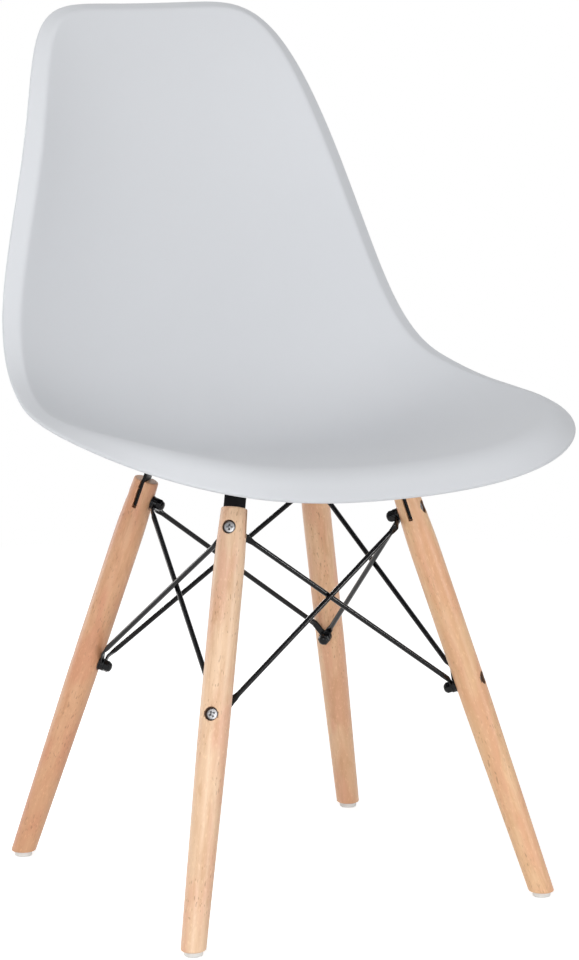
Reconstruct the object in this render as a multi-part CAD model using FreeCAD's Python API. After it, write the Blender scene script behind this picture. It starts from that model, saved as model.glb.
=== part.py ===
import FreeCAD, Part
import math
import os

# Moulded plastic shell chair on four splayed dowel legs, braced by eight crossed steel rods.
# Millimetres. +Z is up, the chair faces -Y, and X is its width. The origin is on the floor, under the
# middle of the chair's bounding box. Left and right are as seen from the front.

Vector = FreeCAD.Vector
UP = Vector(0, 0, 1)

# Seat shell: the centre line runs from the front edge down through the seat and up to the top edge
shell_length = 718.0
shell_wall = 4.5
seat_slope = -6.7
back_angle = 77.7
bend_middle = 317.0
bend_half_length = 179.0
nose_rise = 7.7
nose_length = 163.0
top_lean = -11.6
top_lean_length = 224.0
front_overhang = 202.7

# Seat shell: half widths and rim heights above the centre line, at six even stations from front to top
front_half_width = 224.0
thigh_half_width = 232.0
hip_half_width = 215.0
waist_half_width = 190.0
shoulder_half_width = 150.0
top_half_width = 119.0
front_rim_height = 32.5
thigh_rim_height = 43.5
hip_rim_height = 54.0
waist_rim_height = 32.0
shoulder_rim_height = 27.0
top_rim_height = 11.5
dish_power = 2.2
front_corner_power = 4.5
top_corner_power = 7.7

# Seat shell: the rolled lip round the edge, with its turn in degrees and the flat flange past the roll
front_roll_radius = 27.4
side_roll_radius = 7.0
front_roll_turn = 58.5
side_roll_turn = 36.0
back_roll_turn = 48.5
top_roll_turn = 45.3
front_flange = 14.5
side_flange = 12.0
back_flange = 15.0
top_flange = 13.0
side_lip_station = 0.30
back_lip_station = 0.75

# Moulded bosses under the seat and their threaded inserts
boss_spread = 60.0
boss_radius = 10.0
least_boss_height = 13.0
boss_bite = 2.2
gusset_reach = 9.0
gusset_thickness = 2.4
gusset_drop = 3.0
insert_across_flats = 9.0
insert_length = 10.0
insert_bore_radius = 3.05
insert_clearance = 0.05
insert_hole_spare = 1.0

# Pads between the bosses and the bracket
pad_thickness = 2.0
pad_hole_radius = 3.6

# Bracket: two flat steel bars that cross under the seat, their ends bent down into the legs
bar_width = 20.0
bar_thickness = 3.0
bar_bend_radius = 5.0
bar_height_over_legs = 11.0
crank_half_length = 15.0
crank_ramp = 7.0
crank_bend_radius = 4.0
blade_depth = 28.0
screw_hole_clearance = 0.3

# Shell screws, with a flange under the head
screw_radius = 3.0
screw_length = 15.0
screw_flange_radius = 6.5
screw_flange_thickness = 1.2
screw_head_radius = 5.2
screw_head_height = 3.8
screw_socket_across = 4.0
screw_socket_depth = 2.2

# Legs
foot_spread = 181.0
top_spread = 88.5
leg_top_height = 375.0
leg_top_radius = 11.8
leg_body_radius = 13.8
leg_foot_radius = 11.3
leg_top_taper = 46.0
leg_body_length = 156.0
leg_edge_chamfer = 1.2
slot_depth = 30.0
slot_clearance = 0.15

# Leg bolts, through the legs square to them
upper_bolt_drop = 18.6
lower_bolt_drop = 186.0
bolt_radius = 3.0
bolt_hole_clearance = 0.2
recess_radius = 6.8
recess_floor = 7.5
bolt_head_radius = 5.9
bolt_head_height = 4.0
bolt_head_chamfer = 0.7
bolt_cross_length = 6.2
bolt_cross_width = 1.4
bolt_cross_depth = 2.2
spot_face_depth = 0.9
spot_face_clearance = 0.4
leg_washer_radius = 6.2
leg_washer_thickness = 1.6
nut_across_flats = 10.0
nut_height = 7.4
nut_hex_height = 4.6
nut_cap_radius = 4.6
nut_cap_end_radius = 2.6
nut_bore_depth = 5.4
bolt_short_of_bore = 0.6

# Brace rods: round steel with flattened eyes
rod_radius = 2.4
rod_crossing_gap = 0.35
eye_radius = 5.8
eye_thickness = 2.0
strip_half_width = 3.7
strip_start = 4.0
outer_bend_distance = 17.5
inner_low_bend_distance = 9.5
strip_bend_radius = 3.0
strip_taper_start = 2.5
strip_taper_length = 7.0
strip_end_half_width = 2.1
press_start = 3.0
press_length = 6.5

# Glides under the feet, with a nail each
glide_radius = 8.5
glide_height = 5.0
glide_edge_chamfer = 1.2
nail_radius = 1.0
nail_clearance = 0.05
nail_head_radius = 2.6
nail_head_height = 0.8
nail_head_recess = 1.2
nail_length = 16.0

# How many rows of points carry the shell's surfaces, and the share of the sheet inside the inner square
long_side_count = 17
short_side_count = 9
ring_count = 5
roll_count = 4
inner_square = 0.55

# Worked out from the sizes above
bar_bottom = leg_top_height + bar_height_over_legs
bar_middle = bar_bottom + bar_thickness / 2
bar_top = bar_bottom + bar_thickness
pad_top = bar_top + pad_thickness
bolt_hole_radius = bolt_radius + bolt_hole_clearance


def ease(value):
    """Rise from 0 to 1 with no slope or curvature at either end."""
    value = min(max(value, 0.0), 1.0)
    return value ** 3 * (value * (6.0 * value - 15.0) + 10.0)


def soft_step(value):
    """Rise from 0 to 1 with no slope at either end."""
    value = min(max(value, 0.0), 1.0)
    return value * value * (3.0 - 2.0 * value)


def natural_curve(values):
    """Smooth curve through evenly spaced values, unbent at both ends, read by a fraction of its length."""
    last = len(values) - 1
    bends = [0.0] * len(values)
    diagonal = [4.0] * len(values)
    pull = [0.0] * len(values)
    for i in range(1, last):
        pull[i] = 6.0 * (values[i + 1] - 2.0 * values[i] + values[i - 1])
    for i in range(2, last):
        diagonal[i] -= 1.0 / diagonal[i - 1]
        pull[i] -= pull[i - 1] / diagonal[i - 1]
    for i in range(last - 1, 0, -1):
        bends[i] = (pull[i] - bends[i + 1]) / diagonal[i]

    def read(fraction):
        place = min(max(fraction, 0.0), 1.0) * last
        i = min(int(place), last - 1)
        right = place - i
        left = 1.0 - right
        straight = values[i] * left + values[i + 1] * right
        return straight + ((left ** 3 - left) * bends[i] + (right ** 3 - right) * bends[i + 1]) / 6.0

    return read


half_width_curve = natural_curve(
    [front_half_width, thigh_half_width, hip_half_width, waist_half_width, shoulder_half_width, top_half_width]
)
rim_height_curve = natural_curve(
    [front_rim_height, thigh_rim_height, hip_rim_height, waist_rim_height, shoulder_rim_height, top_rim_height]
)


def slope(distance):
    """Angle of the centre line from the floor, in radians, at a distance from the front edge."""
    turn = ease((distance - bend_middle + bend_half_length) / (2.0 * bend_half_length))
    nose = max(1.0 - distance / nose_length, 0.0) ** 2
    lean = max((distance - shell_length + top_lean_length) / top_lean_length, 0.0) ** 2
    return math.radians(seat_slope + (back_angle - seat_slope) * turn + nose_rise * nose + top_lean * lean)


def centre_line():
    """Points of the centre line, a millimetre apart, from just before the front edge to past the top."""
    margin = 20
    count = int(shell_length) + 2 * margin + 2
    points = [(0.0, 0.0)]
    for i in range(count):
        angle = slope(i + 0.5 - margin)
        y, z = points[-1]
        points.append((y + math.cos(angle), z + math.sin(angle)))
    front_y, front_z = points[margin]
    lowest = min(z for y, z in points[margin:margin + int(shell_length)])
    rise = pad_top + least_boss_height + shell_wall - lowest
    return margin, [(y - front_y - front_overhang, z + rise) for y, z in points]


line_margin, line_points = centre_line()


def line_point(distance):
    """Centre line's Y and Z at a distance from the front edge."""
    place = distance + line_margin
    i = min(max(int(place), 0), len(line_points) - 2)
    share = place - i
    y0, z0 = line_points[i]
    y1, z1 = line_points[i + 1]
    return y0 + (y1 - y0) * share, z0 + (z1 - z0) * share


def sheet_point(along, across):
    """Point of the sitting side: along and across run from -1 to 1, and the dish rises as a power."""
    distance = shell_length / 2.0 * (1.0 + along)
    fraction = distance / shell_length
    angle = slope(distance)
    y, z = line_point(distance)
    rise = rim_height_curve(fraction) * abs(across) ** dish_power
    return Vector(half_width_curve(fraction) * across, y - math.sin(angle) * rise, z + math.cos(angle) * rise)


def sheet_normal(along, across):
    """Unit normal of the sitting side, towards the sitter."""
    step = 0.002
    sideways = sheet_point(along, across + step) - sheet_point(along, across - step)
    onward = sheet_point(along + step, across) - sheet_point(along - step, across)
    return sideways.cross(onward).normalize()


def rim_place(turn):
    """Where a ray at this angle leaves the shell's rounded outline, as along and across."""
    along = math.sin(turn)
    across = math.cos(turn)
    power = front_corner_power if along < 0.0 else top_corner_power
    reach = (abs(along) ** power + abs(across) ** power) ** (1.0 / power)
    return along / reach, across / reach


def rim_frame(turn):
    """Rim point with the sheet's normal there and the outward direction in the sheet."""
    along, across = rim_place(turn)
    step = 0.001
    onward = sheet_point(*rim_place(turn + step)) - sheet_point(*rim_place(turn - step))
    normal = sheet_normal(along, across)
    return sheet_point(along, across), normal, onward.cross(normal).normalize(), (1.0 + along) / 2.0


def by_station(fraction, front, side, back, top):
    """Ease a lip size from the front to the side, back and top stations."""
    places = [0.0, side_lip_station, back_lip_station, 1.0]
    sizes = [front, side, back, top]
    size = front
    for i in range(3):
        size += (sizes[i + 1] - sizes[i]) * soft_step((fraction - places[i]) / (places[i + 1] - places[i]))
    return size


def lip_sizes(fraction):
    """Roll radius, roll turn and flange length of the lip at a fraction of the centre line."""
    radius = by_station(fraction, front_roll_radius, side_roll_radius, side_roll_radius, side_roll_radius)
    turn = by_station(fraction, front_roll_turn, side_roll_turn, back_roll_turn, top_roll_turn)
    flange = by_station(fraction, front_flange, side_flange, back_flange, top_flange)
    return radius, math.radians(turn), flange


def roll_share(fraction):
    """Share of the lip's developed width that is its roll."""
    radius, turn, flange = lip_sizes(fraction)
    return radius * turn / (radius * turn + flange)


def lip_point(turn, share, depth):
    """Point of the lip at a share of its developed width, at a depth under its outer face."""
    rim, normal, outward, fraction = rim_frame(turn)
    radius, roll, flange = lip_sizes(fraction)
    travel = share * (radius * roll + flange)
    angle = min(travel / radius, roll)
    past = max(travel - radius * roll, 0.0)
    point = rim + outward * (radius * math.sin(angle) + past * math.cos(angle))
    point -= normal * (radius * (1.0 - math.cos(angle)) + past * math.sin(angle))
    return point - (normal * math.cos(angle) + outward * math.sin(angle)) * depth


def under(along, across, depth):
    """Point of the sheet at a depth under the sitting side."""
    return sheet_point(along, across) - sheet_normal(along, across) * depth


def fractions(count):
    return [i / (count - 1.0) for i in range(count)]


def side_ray(side, place):
    """Ray from the sheet's middle through one side of the inner square, at a place from -1 to 1."""
    rays = {
        "right": (place, 1.0),
        "top": (1.0, -place),
        "left": (-place, -1.0),
        "front": (-1.0, place),
    }
    return rays[side]


def cubic_inverse(count):
    """Matrix that turns evenly spaced points of a cubic curve into its poles, and the curve's knots."""
    knots = [0.0] * 4 + [float(i) for i in range(2, count - 2)] + [count - 1.0] * 4

    def basis(i, degree, at):
        if degree == 0:
            inside = knots[i] <= at < knots[i + 1]
            at_end = at == knots[-1] and knots[i] < at <= knots[i + 1]
            return 1.0 if inside or at_end else 0.0
        total = 0.0
        if knots[i + degree] > knots[i]:
            total += (at - knots[i]) / (knots[i + degree] - knots[i]) * basis(i, degree - 1, at)
        if knots[i + degree + 1] > knots[i + 1]:
            share = (knots[i + degree + 1] - at) / (knots[i + degree + 1] - knots[i + 1])
            total += share * basis(i + 1, degree - 1, at)
        return total

    rows = []
    for r in range(count):
        unit = [1.0 if c == r else 0.0 for c in range(count)]
        rows.append([basis(c, 3, float(r)) for c in range(count)] + unit)
    for c in range(count):
        pivot = max(range(c, count), key=lambda r: abs(rows[r][c]))
        rows[c], rows[pivot] = rows[pivot], rows[c]
        scale = rows[c][c]
        rows[c] = [value / scale for value in rows[c]]
        for r in range(count):
            if r != c and rows[r][c] != 0.0:
                factor = rows[r][c]
                rows[r] = [value - factor * lead for value, lead in zip(rows[r], rows[c])]
    return [row[count:] for row in rows], [0.0] + [float(i) for i in range(2, count - 2)] + [count - 1.0]


inverse_cache = {}


def inverse_for(count):
    if count not in inverse_cache:
        inverse_cache[count] = cubic_inverse(count) if count > 2 else ([[1.0, 0.0], [0.0, 1.0]], [0.0, 1.0])
    return inverse_cache[count]


def combine(weights, points):
    total = Vector(0, 0, 0)
    for weight, point in zip(weights, points):
        total += point * weight
    return total


def smooth_face(grid):
    """Smooth face through a grid of points, straight across where it is two points wide.

    Faces that share a row of points share that edge exactly.
    """
    row_weights, row_knots = inverse_for(len(grid))
    column_weights, column_knots = inverse_for(len(grid[0]))
    half = [[combine(weights, row) for weights in column_weights] for row in grid]
    columns = list(zip(*half))
    poles = [[combine(weights, column) for column in columns] for weights in row_weights]
    degree = 3 if len(grid[0]) > 2 else 1
    surface = Part.BSplineSurface()
    surface.buildFromPolesMultsKnots(
        poles,
        [4] + [1] * (len(row_knots) - 2) + [4],
        [degree + 1] + [1] * (len(column_knots) - 2) + [degree + 1],
        row_knots,
        column_knots,
        False,
        False,
        3,
        degree,
    )
    return surface.toShape()


def shell_faces():
    """All faces of the shell: both sides of the sheet, of the lip's roll and of its flange, and the edge."""
    faces = []
    counts = {"right": long_side_count, "left": long_side_count, "top": short_side_count,
              "front": short_side_count}
    for depth in (0.0, shell_wall):
        grid = []
        for u in fractions(long_side_count):
            along = inner_square * (2.0 * u - 1.0)
            row = []
            for v in fractions(short_side_count):
                row.append(under(along, inner_square * (2.0 * v - 1.0), depth))
            grid.append(row)
        faces.append(smooth_face(grid))
    for side, count in counts.items():
        rays = [side_ray(side, 2.0 * u - 1.0) for u in fractions(count)]
        turns = [math.atan2(along, across) for along, across in rays]
        for depth in (0.0, shell_wall):
            frame = []
            roll = []
            flange = []
            for (along, across), turn in zip(rays, turns):
                rim_along, rim_across = rim_place(turn)
                row = []
                for t in fractions(ring_count):
                    near = inner_square * (1.0 - t)
                    row.append(under(along * near + rim_along * t, across * near + rim_across * t, depth))
                frame.append(row)
                bent = roll_share((1.0 + rim_along) / 2.0)
                roll.append([lip_point(turn, t * bent, depth) for t in fractions(roll_count)])
                flange.append([lip_point(turn, bent, depth), lip_point(turn, 1.0, depth)])
            faces += [smooth_face(frame), smooth_face(roll), smooth_face(flange)]
        faces.append(smooth_face([[lip_point(turn, 1.0, 0.0), lip_point(turn, 1.0, shell_wall)] for turn in turns]))
    return faces


def solid_from(faces):
    """Closed solid from faces that meet edge to edge."""
    joined = Part.Compound(faces)
    joined.sewShape()
    shells = joined.Shells
    solid = Part.Solid(shells[0])
    if solid.Volume < 0.0:
        solid.reverse()
    return solid


def upright(radius, low, high, x=0.0, y=0.0):
    """Upright round bar between two heights."""
    return Part.makeCylinder(radius, high - low, Vector(x, y, low), UP)


def boss_places():
    """Middles of the four bosses, from front left round to rear left."""
    return [(sx * boss_spread, sy * boss_spread) for sx, sy in ((-1, -1), (1, -1), (1, 1), (-1, 1))]


def underside_height(x, y):
    """Height of the seat's underside over a point of the floor, found by halving."""
    low = 0.0
    high = bend_middle
    for step in range(40):
        distance = (low + high) / 2.0
        fraction = distance / shell_length
        point = sheet_point(2.0 * fraction - 1.0, x / half_width_curve(fraction))
        if point.y < y:
            low = distance
        else:
            high = distance
    fraction = low / shell_length
    along = 2.0 * fraction - 1.0
    across = x / half_width_curve(fraction)
    return sheet_point(along, across).z - shell_wall / sheet_normal(along, across).z


def gusset(x, y, toward_x, toward_y):
    """Triangular rib from a boss's side to the seat's underside."""
    reach = boss_radius + gusset_reach
    inner_x = x + toward_x * boss_radius / 2.0
    inner_y = y + toward_y * boss_radius / 2.0
    outer_x = x + toward_x * reach
    outer_y = y + toward_y * reach
    inner_top = underside_height(inner_x, inner_y) + boss_bite
    outer_top = underside_height(outer_x, outer_y) + boss_bite
    points = [
        Vector(inner_x, inner_y, inner_top),
        Vector(outer_x, outer_y, outer_top),
        Vector(outer_x, outer_y, outer_top - boss_bite),
        Vector(x + toward_x * boss_radius, y + toward_y * boss_radius, pad_top + gusset_drop),
        Vector(inner_x, inner_y, pad_top + gusset_drop),
    ]
    across = Vector(-toward_y, toward_x, 0) * gusset_thickness
    outline = Part.makePolygon(points + points[:1])
    outline.translate(across * -0.5)
    return Part.Face(outline).extrude(across)


def seat_shell():
    shell = solid_from(shell_faces())
    hole_height = insert_length + insert_hole_spare
    hole_across_flats = insert_across_flats + 2.0 * insert_clearance
    for x, y in boss_places():
        shell = shell.fuse(upright(boss_radius, pad_top, underside_height(x, y) + boss_bite, x, y))
        for toward_x, toward_y in ((1, 0), (0, 1), (-1, 0), (0, -1)):
            shell = shell.fuse(gusset(x, y, toward_x, toward_y))
    for x, y in boss_places():
        shell = shell.cut(hexagon(hole_across_flats, Vector(x, y, pad_top - 1.0), hole_height + 1.0))
    return shell


def ring(outer, inner, low, high, x=0.0, y=0.0):
    """Flat ring or tube standing upright."""
    return upright(outer, low, high, x, y).cut(upright(inner, low - 1.0, high + 1.0, x, y))


def shell_inserts():
    inserts = []
    for x, y in boss_places():
        body = hexagon(insert_across_flats, Vector(x, y, pad_top), insert_length)
        inserts.append(body.cut(upright(insert_bore_radius, pad_top - 1.0, pad_top + insert_length + 1.0, x, y)))
    return inserts


def shell_pads():
    return [ring(boss_radius, pad_hole_radius, bar_top, pad_top, x, y) for x, y in boss_places()]


def shell_screws():
    """Screws from below, each with a flange, a round head and a hexagon socket."""
    screws = []
    flange_face = bar_bottom - screw_flange_thickness
    head_face = bar_bottom - screw_head_height
    for x, y in boss_places():
        screw = upright(screw_radius, bar_bottom, bar_bottom + screw_length, x, y)
        screw = screw.fuse(upright(screw_flange_radius, flange_face, bar_bottom, x, y))
        screw = screw.fuse(upright(screw_head_radius, head_face, flange_face, x, y))
        socket = hexagon(screw_socket_across, Vector(x, y, head_face - 1.0), screw_socket_depth + 1.0)
        screws.append(screw.cut(socket))
    return screws


def hexagon(across_flats, base, height):
    """Upright hexagonal bar on a base point."""
    corner = across_flats / math.sqrt(3.0)
    points = []
    for i in range(7):
        angle = math.radians(60.0 * i)
        points.append(base + Vector(corner * math.cos(angle), corner * math.sin(angle), 0))
    return Part.Face(Part.makePolygon(points)).extrude(UP * height)


def rounded_path(points, radius):
    """Straight runs joined by tangent arcs."""
    edges = []
    start = points[0]
    for before, corner, after in zip(points, points[1:], points[2:]):
        arriving = (corner - before).normalize()
        leaving = (after - corner).normalize()
        half_turn = arriving.getAngle(leaving) / 2.0
        reach = radius * math.tan(half_turn)
        inward = (leaving - arriving).normalize()
        first = corner - arriving * reach
        last = corner + leaving * reach
        middle = corner + inward * (radius / math.cos(half_turn) - radius)
        edges.append(Part.makeLine(start, first))
        edges.append(Part.Arc(first, middle, last).toShape())
        start = last
    edges.append(Part.makeLine(start, points[-1]))
    return Part.Wire(edges)


class Corner:
    """One corner of the base: its leg axis, and the direction of the bolts through the leg."""

    def __init__(self, side_x, side_y):
        self.top = Vector(side_x * top_spread, side_y * top_spread, leg_top_height)
        self.foot = Vector(side_x * foot_spread, side_y * foot_spread, glide_height)
        self.length = (self.foot - self.top).Length
        self.down = (self.foot - self.top).normalize()
        away = Vector(side_x, side_y, 0).normalize()
        self.away = away
        self.out = (away - self.down * away.dot(self.down)).normalize()
        self.sideways = self.down.cross(self.out)

    def on_axis(self, drop):
        return self.top + self.down * drop

    def placement(self):
        """Places a shape made along Z, with the leg's top at the origin and the outside towards Y."""
        up = self.down * -1.0
        rotation = FreeCAD.Rotation(self.out.cross(up), self.out, up, "ZYX")
        return FreeCAD.Placement(self.top, rotation)

    def bolt_placement(self, drop):
        """Places a shape made along Z on a bolt's axis, with Z pointing out of the leg."""
        rotation = FreeCAD.Rotation(self.sideways * -1.0, self.down, self.out, "ZXY")
        return FreeCAD.Placement(self.on_axis(drop), rotation)


corners = {
    "front_left": Corner(-1, -1),
    "front_right": Corner(1, -1),
    "rear_right": Corner(1, 1),
    "rear_left": Corner(-1, 1),
}
leg_length = corners["front_left"].length
bolt_drops = {"upper": upper_bolt_drop, "lower": lower_bolt_drop}


def leg_radius(drop):
    """Leg's radius at a distance below its top, with its blends left out."""
    if drop < leg_top_taper:
        return leg_top_radius + (leg_body_radius - leg_top_radius) * drop / leg_top_taper
    taper_start = leg_top_taper + leg_body_length
    if drop < taper_start:
        return leg_body_radius
    share = (drop - taper_start) / (leg_length - taper_start)
    return leg_body_radius + (leg_foot_radius - leg_body_radius) * share


def spot_face_floor(drop):
    """Distance from the leg's axis to the flat that the inner washer lies on."""
    return leg_radius(drop) - spot_face_depth


def eye_seat(drop):
    """Distance from the leg's axis to the first rod eye."""
    return spot_face_floor(drop) + leg_washer_thickness


def nut_seat(drop):
    return eye_seat(drop) + 2.0 * eye_thickness


def leg(corner):
    """Turned dowel with a sawn slot on top, a level foot, recesses outside and milled flats inside."""
    past_foot = 12.0
    taper_start = leg_top_taper + leg_body_length
    narrowing = (leg_body_radius - leg_foot_radius) / (leg_length - taper_start)
    low = leg_length + past_foot
    outline = Part.makePolygon([
        Vector(0, 0, 0),
        Vector(leg_top_radius, 0, 0),
        Vector(leg_body_radius, 0, -leg_top_taper),
        Vector(leg_body_radius, 0, -taper_start),
        Vector(leg_foot_radius - narrowing * past_foot, 0, -low),
        Vector(0, 0, -low),
        Vector(0, 0, 0),
    ])
    body = Part.Face(outline).revolve(Vector(0, 0, 0), UP, 360)
    top_edges = [edge for edge in body.Edges if abs(edge.BoundBox.ZMin) < 1e-6 and edge.Closed]
    body = body.makeChamfer(leg_edge_chamfer, top_edges[:1])
    slot_width = bar_thickness + 2.0 * slot_clearance
    wide = 4.0 * leg_body_radius
    slot = Part.makeBox(wide, slot_width, 2.0 * slot_depth, Vector(-wide / 2.0, -slot_width / 2.0, -slot_depth))
    body = body.cut(slot)
    body.Placement = corner.placement()
    for drop in bolt_drops.values():
        reach = 2.0 * leg_body_radius
        floor = spot_face_floor(drop)
        flat_half = leg_washer_radius + spot_face_clearance
        tools = [
            Part.makeCylinder(bolt_hole_radius, 2.0 * reach, Vector(0, 0, -reach), UP),
            Part.makeCylinder(recess_radius, reach, Vector(0, 0, recess_floor), UP),
            Part.makeBox(reach, 2.0 * flat_half, reach, Vector(-reach / 2.0, -flat_half, -floor - reach)),
        ]
        for tool in tools:
            tool.Placement = corner.bolt_placement(drop)
            body = body.cut(tool)
    block = 8.0 * leg_body_radius
    below = Part.makeBox(block, block, block,
                         corner.foot - Vector(block / 2.0, block / 2.0, block))
    body = body.cut(below)
    rim_edges = [edge for edge in body.Edges
                 if edge.BoundBox.ZMax < glide_height + 1e-3 and edge.Length > 2.0 * leg_foot_radius]
    body = body.makeChamfer(leg_edge_chamfer, rim_edges[:1])
    hole_top = nail_head_recess + nail_length + 1.0
    hole = upright(nail_radius + nail_clearance, 0.0, hole_top, corner.foot.x, corner.foot.y)
    return body.cut(hole)


def glides():
    """Round plastic glides with a chamfered lower edge and a recess for the nail's head."""
    discs = []
    recess_height = nail_head_recess + nail_head_height
    for corner in corners.values():
        x = corner.foot.x
        y = corner.foot.y
        disc = upright(glide_radius, 0.0, glide_height, x, y)
        lower_edge = [edge for edge in disc.Edges if edge.BoundBox.ZMax < 1e-6]
        disc = disc.makeChamfer(glide_edge_chamfer, lower_edge)
        disc = disc.cut(upright(nail_radius + nail_clearance, -1.0, glide_height + 1.0, x, y))
        discs.append(disc.cut(upright(nail_head_radius + nail_clearance, -1.0, recess_height, x, y)))
    return discs


def glide_nails():
    nails = []
    for corner in corners.values():
        x = corner.foot.x
        y = corner.foot.y
        head_top = nail_head_recess + nail_head_height
        head = upright(nail_head_radius, nail_head_recess, head_top, x, y)
        shank = upright(nail_radius, nail_head_recess, nail_head_recess + nail_length, x, y)
        nails.append(head.fuse(shank))
    return nails


def leg_bolts(drop):
    """Four bolts with a chamfered round head and a cross recess, head outside."""
    bolts = []
    end = nut_seat(drop) + nut_bore_depth - bolt_short_of_bore
    face = recess_floor + bolt_head_height
    for corner in corners.values():
        head = Part.makeCylinder(bolt_head_radius, bolt_head_height, Vector(0, 0, recess_floor), UP)
        rim = [edge for edge in head.Edges if abs(edge.BoundBox.ZMin - face) < 1e-6]
        head = head.makeChamfer(bolt_head_chamfer, rim)
        for length, width in ((bolt_cross_length, bolt_cross_width), (bolt_cross_width, bolt_cross_length)):
            low_corner = Vector(-length / 2.0, -width / 2.0, face - bolt_cross_depth)
            head = head.cut(Part.makeBox(length, width, bolt_head_height, low_corner))
        shank = Part.makeCylinder(bolt_radius, recess_floor + end, Vector(0, 0, -end), UP)
        bolt = head.fuse(shank)
        bolt.Placement = corner.bolt_placement(drop)
        bolts.append(bolt)
    return bolts


def leg_washers():
    washers = []
    for drop in bolt_drops.values():
        for corner in corners.values():
            washer = ring(leg_washer_radius, bolt_hole_radius, -eye_seat(drop), -spot_face_floor(drop))
            washer.Placement = corner.bolt_placement(drop)
            washers.append(washer)
    return washers


def cap_nuts(drop):
    """Four closed hexagon nuts over the rod eyes, each with a tapered cap."""
    nuts = []
    seat = nut_seat(drop)
    for corner in corners.values():
        nut = hexagon(nut_across_flats, Vector(0, 0, -seat - nut_hex_height), nut_hex_height)
        cap_height = nut_height - nut_hex_height
        cap = Part.makeCone(nut_cap_radius, nut_cap_end_radius, cap_height, Vector(0, 0, -seat - nut_hex_height),
                            UP * -1.0)
        nut = nut.fuse(cap)
        nut = nut.cut(Part.makeCylinder(bolt_hole_radius, nut_bore_depth, Vector(0, 0, -seat), UP * -1.0))
        nut.Placement = corner.bolt_placement(drop)
        nuts.append(nut)
    return nuts


def bar_section(corner, at):
    """Section of a bar across its path at the blade's end."""
    half_width = corner.sideways * (bar_width / 2.0)
    half_thickness = corner.out * (bar_thickness / 2.0)
    signs = [(-1, -1), (1, -1), (1, 1), (-1, 1), (-1, -1)]
    return Part.makePolygon([at + half_width * a + half_thickness * b for a, b in signs])


def bracket_bar(near, far, cranked):
    """Flat bar from leg to leg: a blade in each slot, bent over and across, cranked over the other bar."""
    rise = bar_middle - leg_top_height
    ends = []
    for corner in (near, far):
        tip = corner.on_axis(blade_depth)
        bend = corner.top + corner.down * (rise / corner.down.z)
        ends.append([tip, bend])
    crank = []
    if cranked:
        step = UP * bar_thickness
        middle = Vector(0, 0, bar_middle)
        for corner, order in ((near, 1), (far, -1)):
            outer = middle + corner.away * (crank_half_length + crank_ramp)
            inner = middle + corner.away * crank_half_length + step
            crank += [outer, inner][::order]
    points = ends[0] + crank + ends[1][::-1]
    path = bent_path(points)
    bar = path.makePipeShell([bar_section(near, points[0])], True, False)
    for corner in (near, far):
        hole = Part.makeCylinder(bolt_hole_radius, 4.0 * bar_thickness, Vector(0, 0, -2.0 * bar_thickness), UP)
        hole.Placement = corner.bolt_placement(upper_bolt_drop)
        bar = bar.cut(hole)
        x = math.copysign(boss_spread, corner.top.x)
        y = math.copysign(boss_spread, corner.top.y)
        bar = bar.cut(upright(screw_radius + screw_hole_clearance, bar_bottom - 5.0, bar_top + 5.0, x, y))
    return bar


def bent_path(points):
    """Path with the blade bends and, between them, the smaller crank bends."""
    radii = [bar_bend_radius] + [crank_bend_radius] * (len(points) - 4) + [bar_bend_radius]
    edges = []
    start = points[0]
    for i, radius in enumerate(radii):
        joint = rounded_path([start, points[i + 1], points[i + 2]], radius)
        edges += joint.Edges[:-1]
        start = joint.Edges[-1].Vertexes[0].Point
    edges.append(Part.makeLine(start, points[-1]))
    return Part.Wire(edges)


def side_normal(first, second):
    """Normal of the plane through two neighbouring legs, away from the chair."""
    normal = first.down.cross(second.down).normalize()
    if normal.dot(first.out) < 0.0:
        normal = normal * -1.0
    return normal


def bent_strip(eye, bend, out, along, run):
    """Flat strip from a rod's eye round the bend beside it, narrowing until it is inside the round rod."""
    wide = out.cross(along)
    lift = run.cross(wide)
    half = eye_thickness / 2.0
    mitre = (out + lift) * (half / (1.0 + out.dot(lift)))
    start = eye + along * strip_start
    end = bend + run * strip_taper_start
    tip = end + run * strip_taper_length
    outer_line = rounded_path([start + out * half, bend + mitre, end + lift * half], strip_bend_radius + half)
    inner_line = rounded_path([start - out * half, bend - mitre, end - lift * half], strip_bend_radius - half)
    first = Part.makeLine(start + out * half, start - out * half)
    last = Part.makeLine(end + lift * half, end - lift * half)
    side = Part.Wire(Part.sortEdges(outer_line.Edges + inner_line.Edges + [first, last])[0])
    side.translate(wide * -strip_half_width)
    strip = Part.Face(side).extrude(wide * (2.0 * strip_half_width))
    corners_of_taper = [
        end + wide * strip_half_width,
        tip + wide * strip_end_half_width,
        tip - wide * strip_end_half_width,
        end - wide * strip_half_width,
    ]
    outline = Part.makePolygon(corners_of_taper + corners_of_taper[:1])
    outline.translate(lift * -half)
    return strip.fuse(Part.Face(outline).extrude(lift * (2.0 * half)))


def press_wedges(bend, run, wide):
    """Two wedges that press the round rod down to the strip's thickness beside a bend."""
    lift = run.cross(wide)
    half = eye_thickness / 2.0
    rise = (rod_radius - half) / press_length
    top = 1.4 * rod_radius
    start = press_start - 1.0
    wedges = []
    for side in (1.0, -1.0):
        points = [
            bend + run * start + lift * (side * (half - rise)),
            bend + run * (press_start + (top - half) / rise) + lift * (side * top),
            bend + run * start + lift * (side * top),
        ]
        outline = Part.makePolygon(points + points[:1])
        outline.translate(wide * (-2.0 * rod_radius))
        wedges.append(Part.Face(outline).extrude(wide * (4.0 * rod_radius)))
    return wedges


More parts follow.
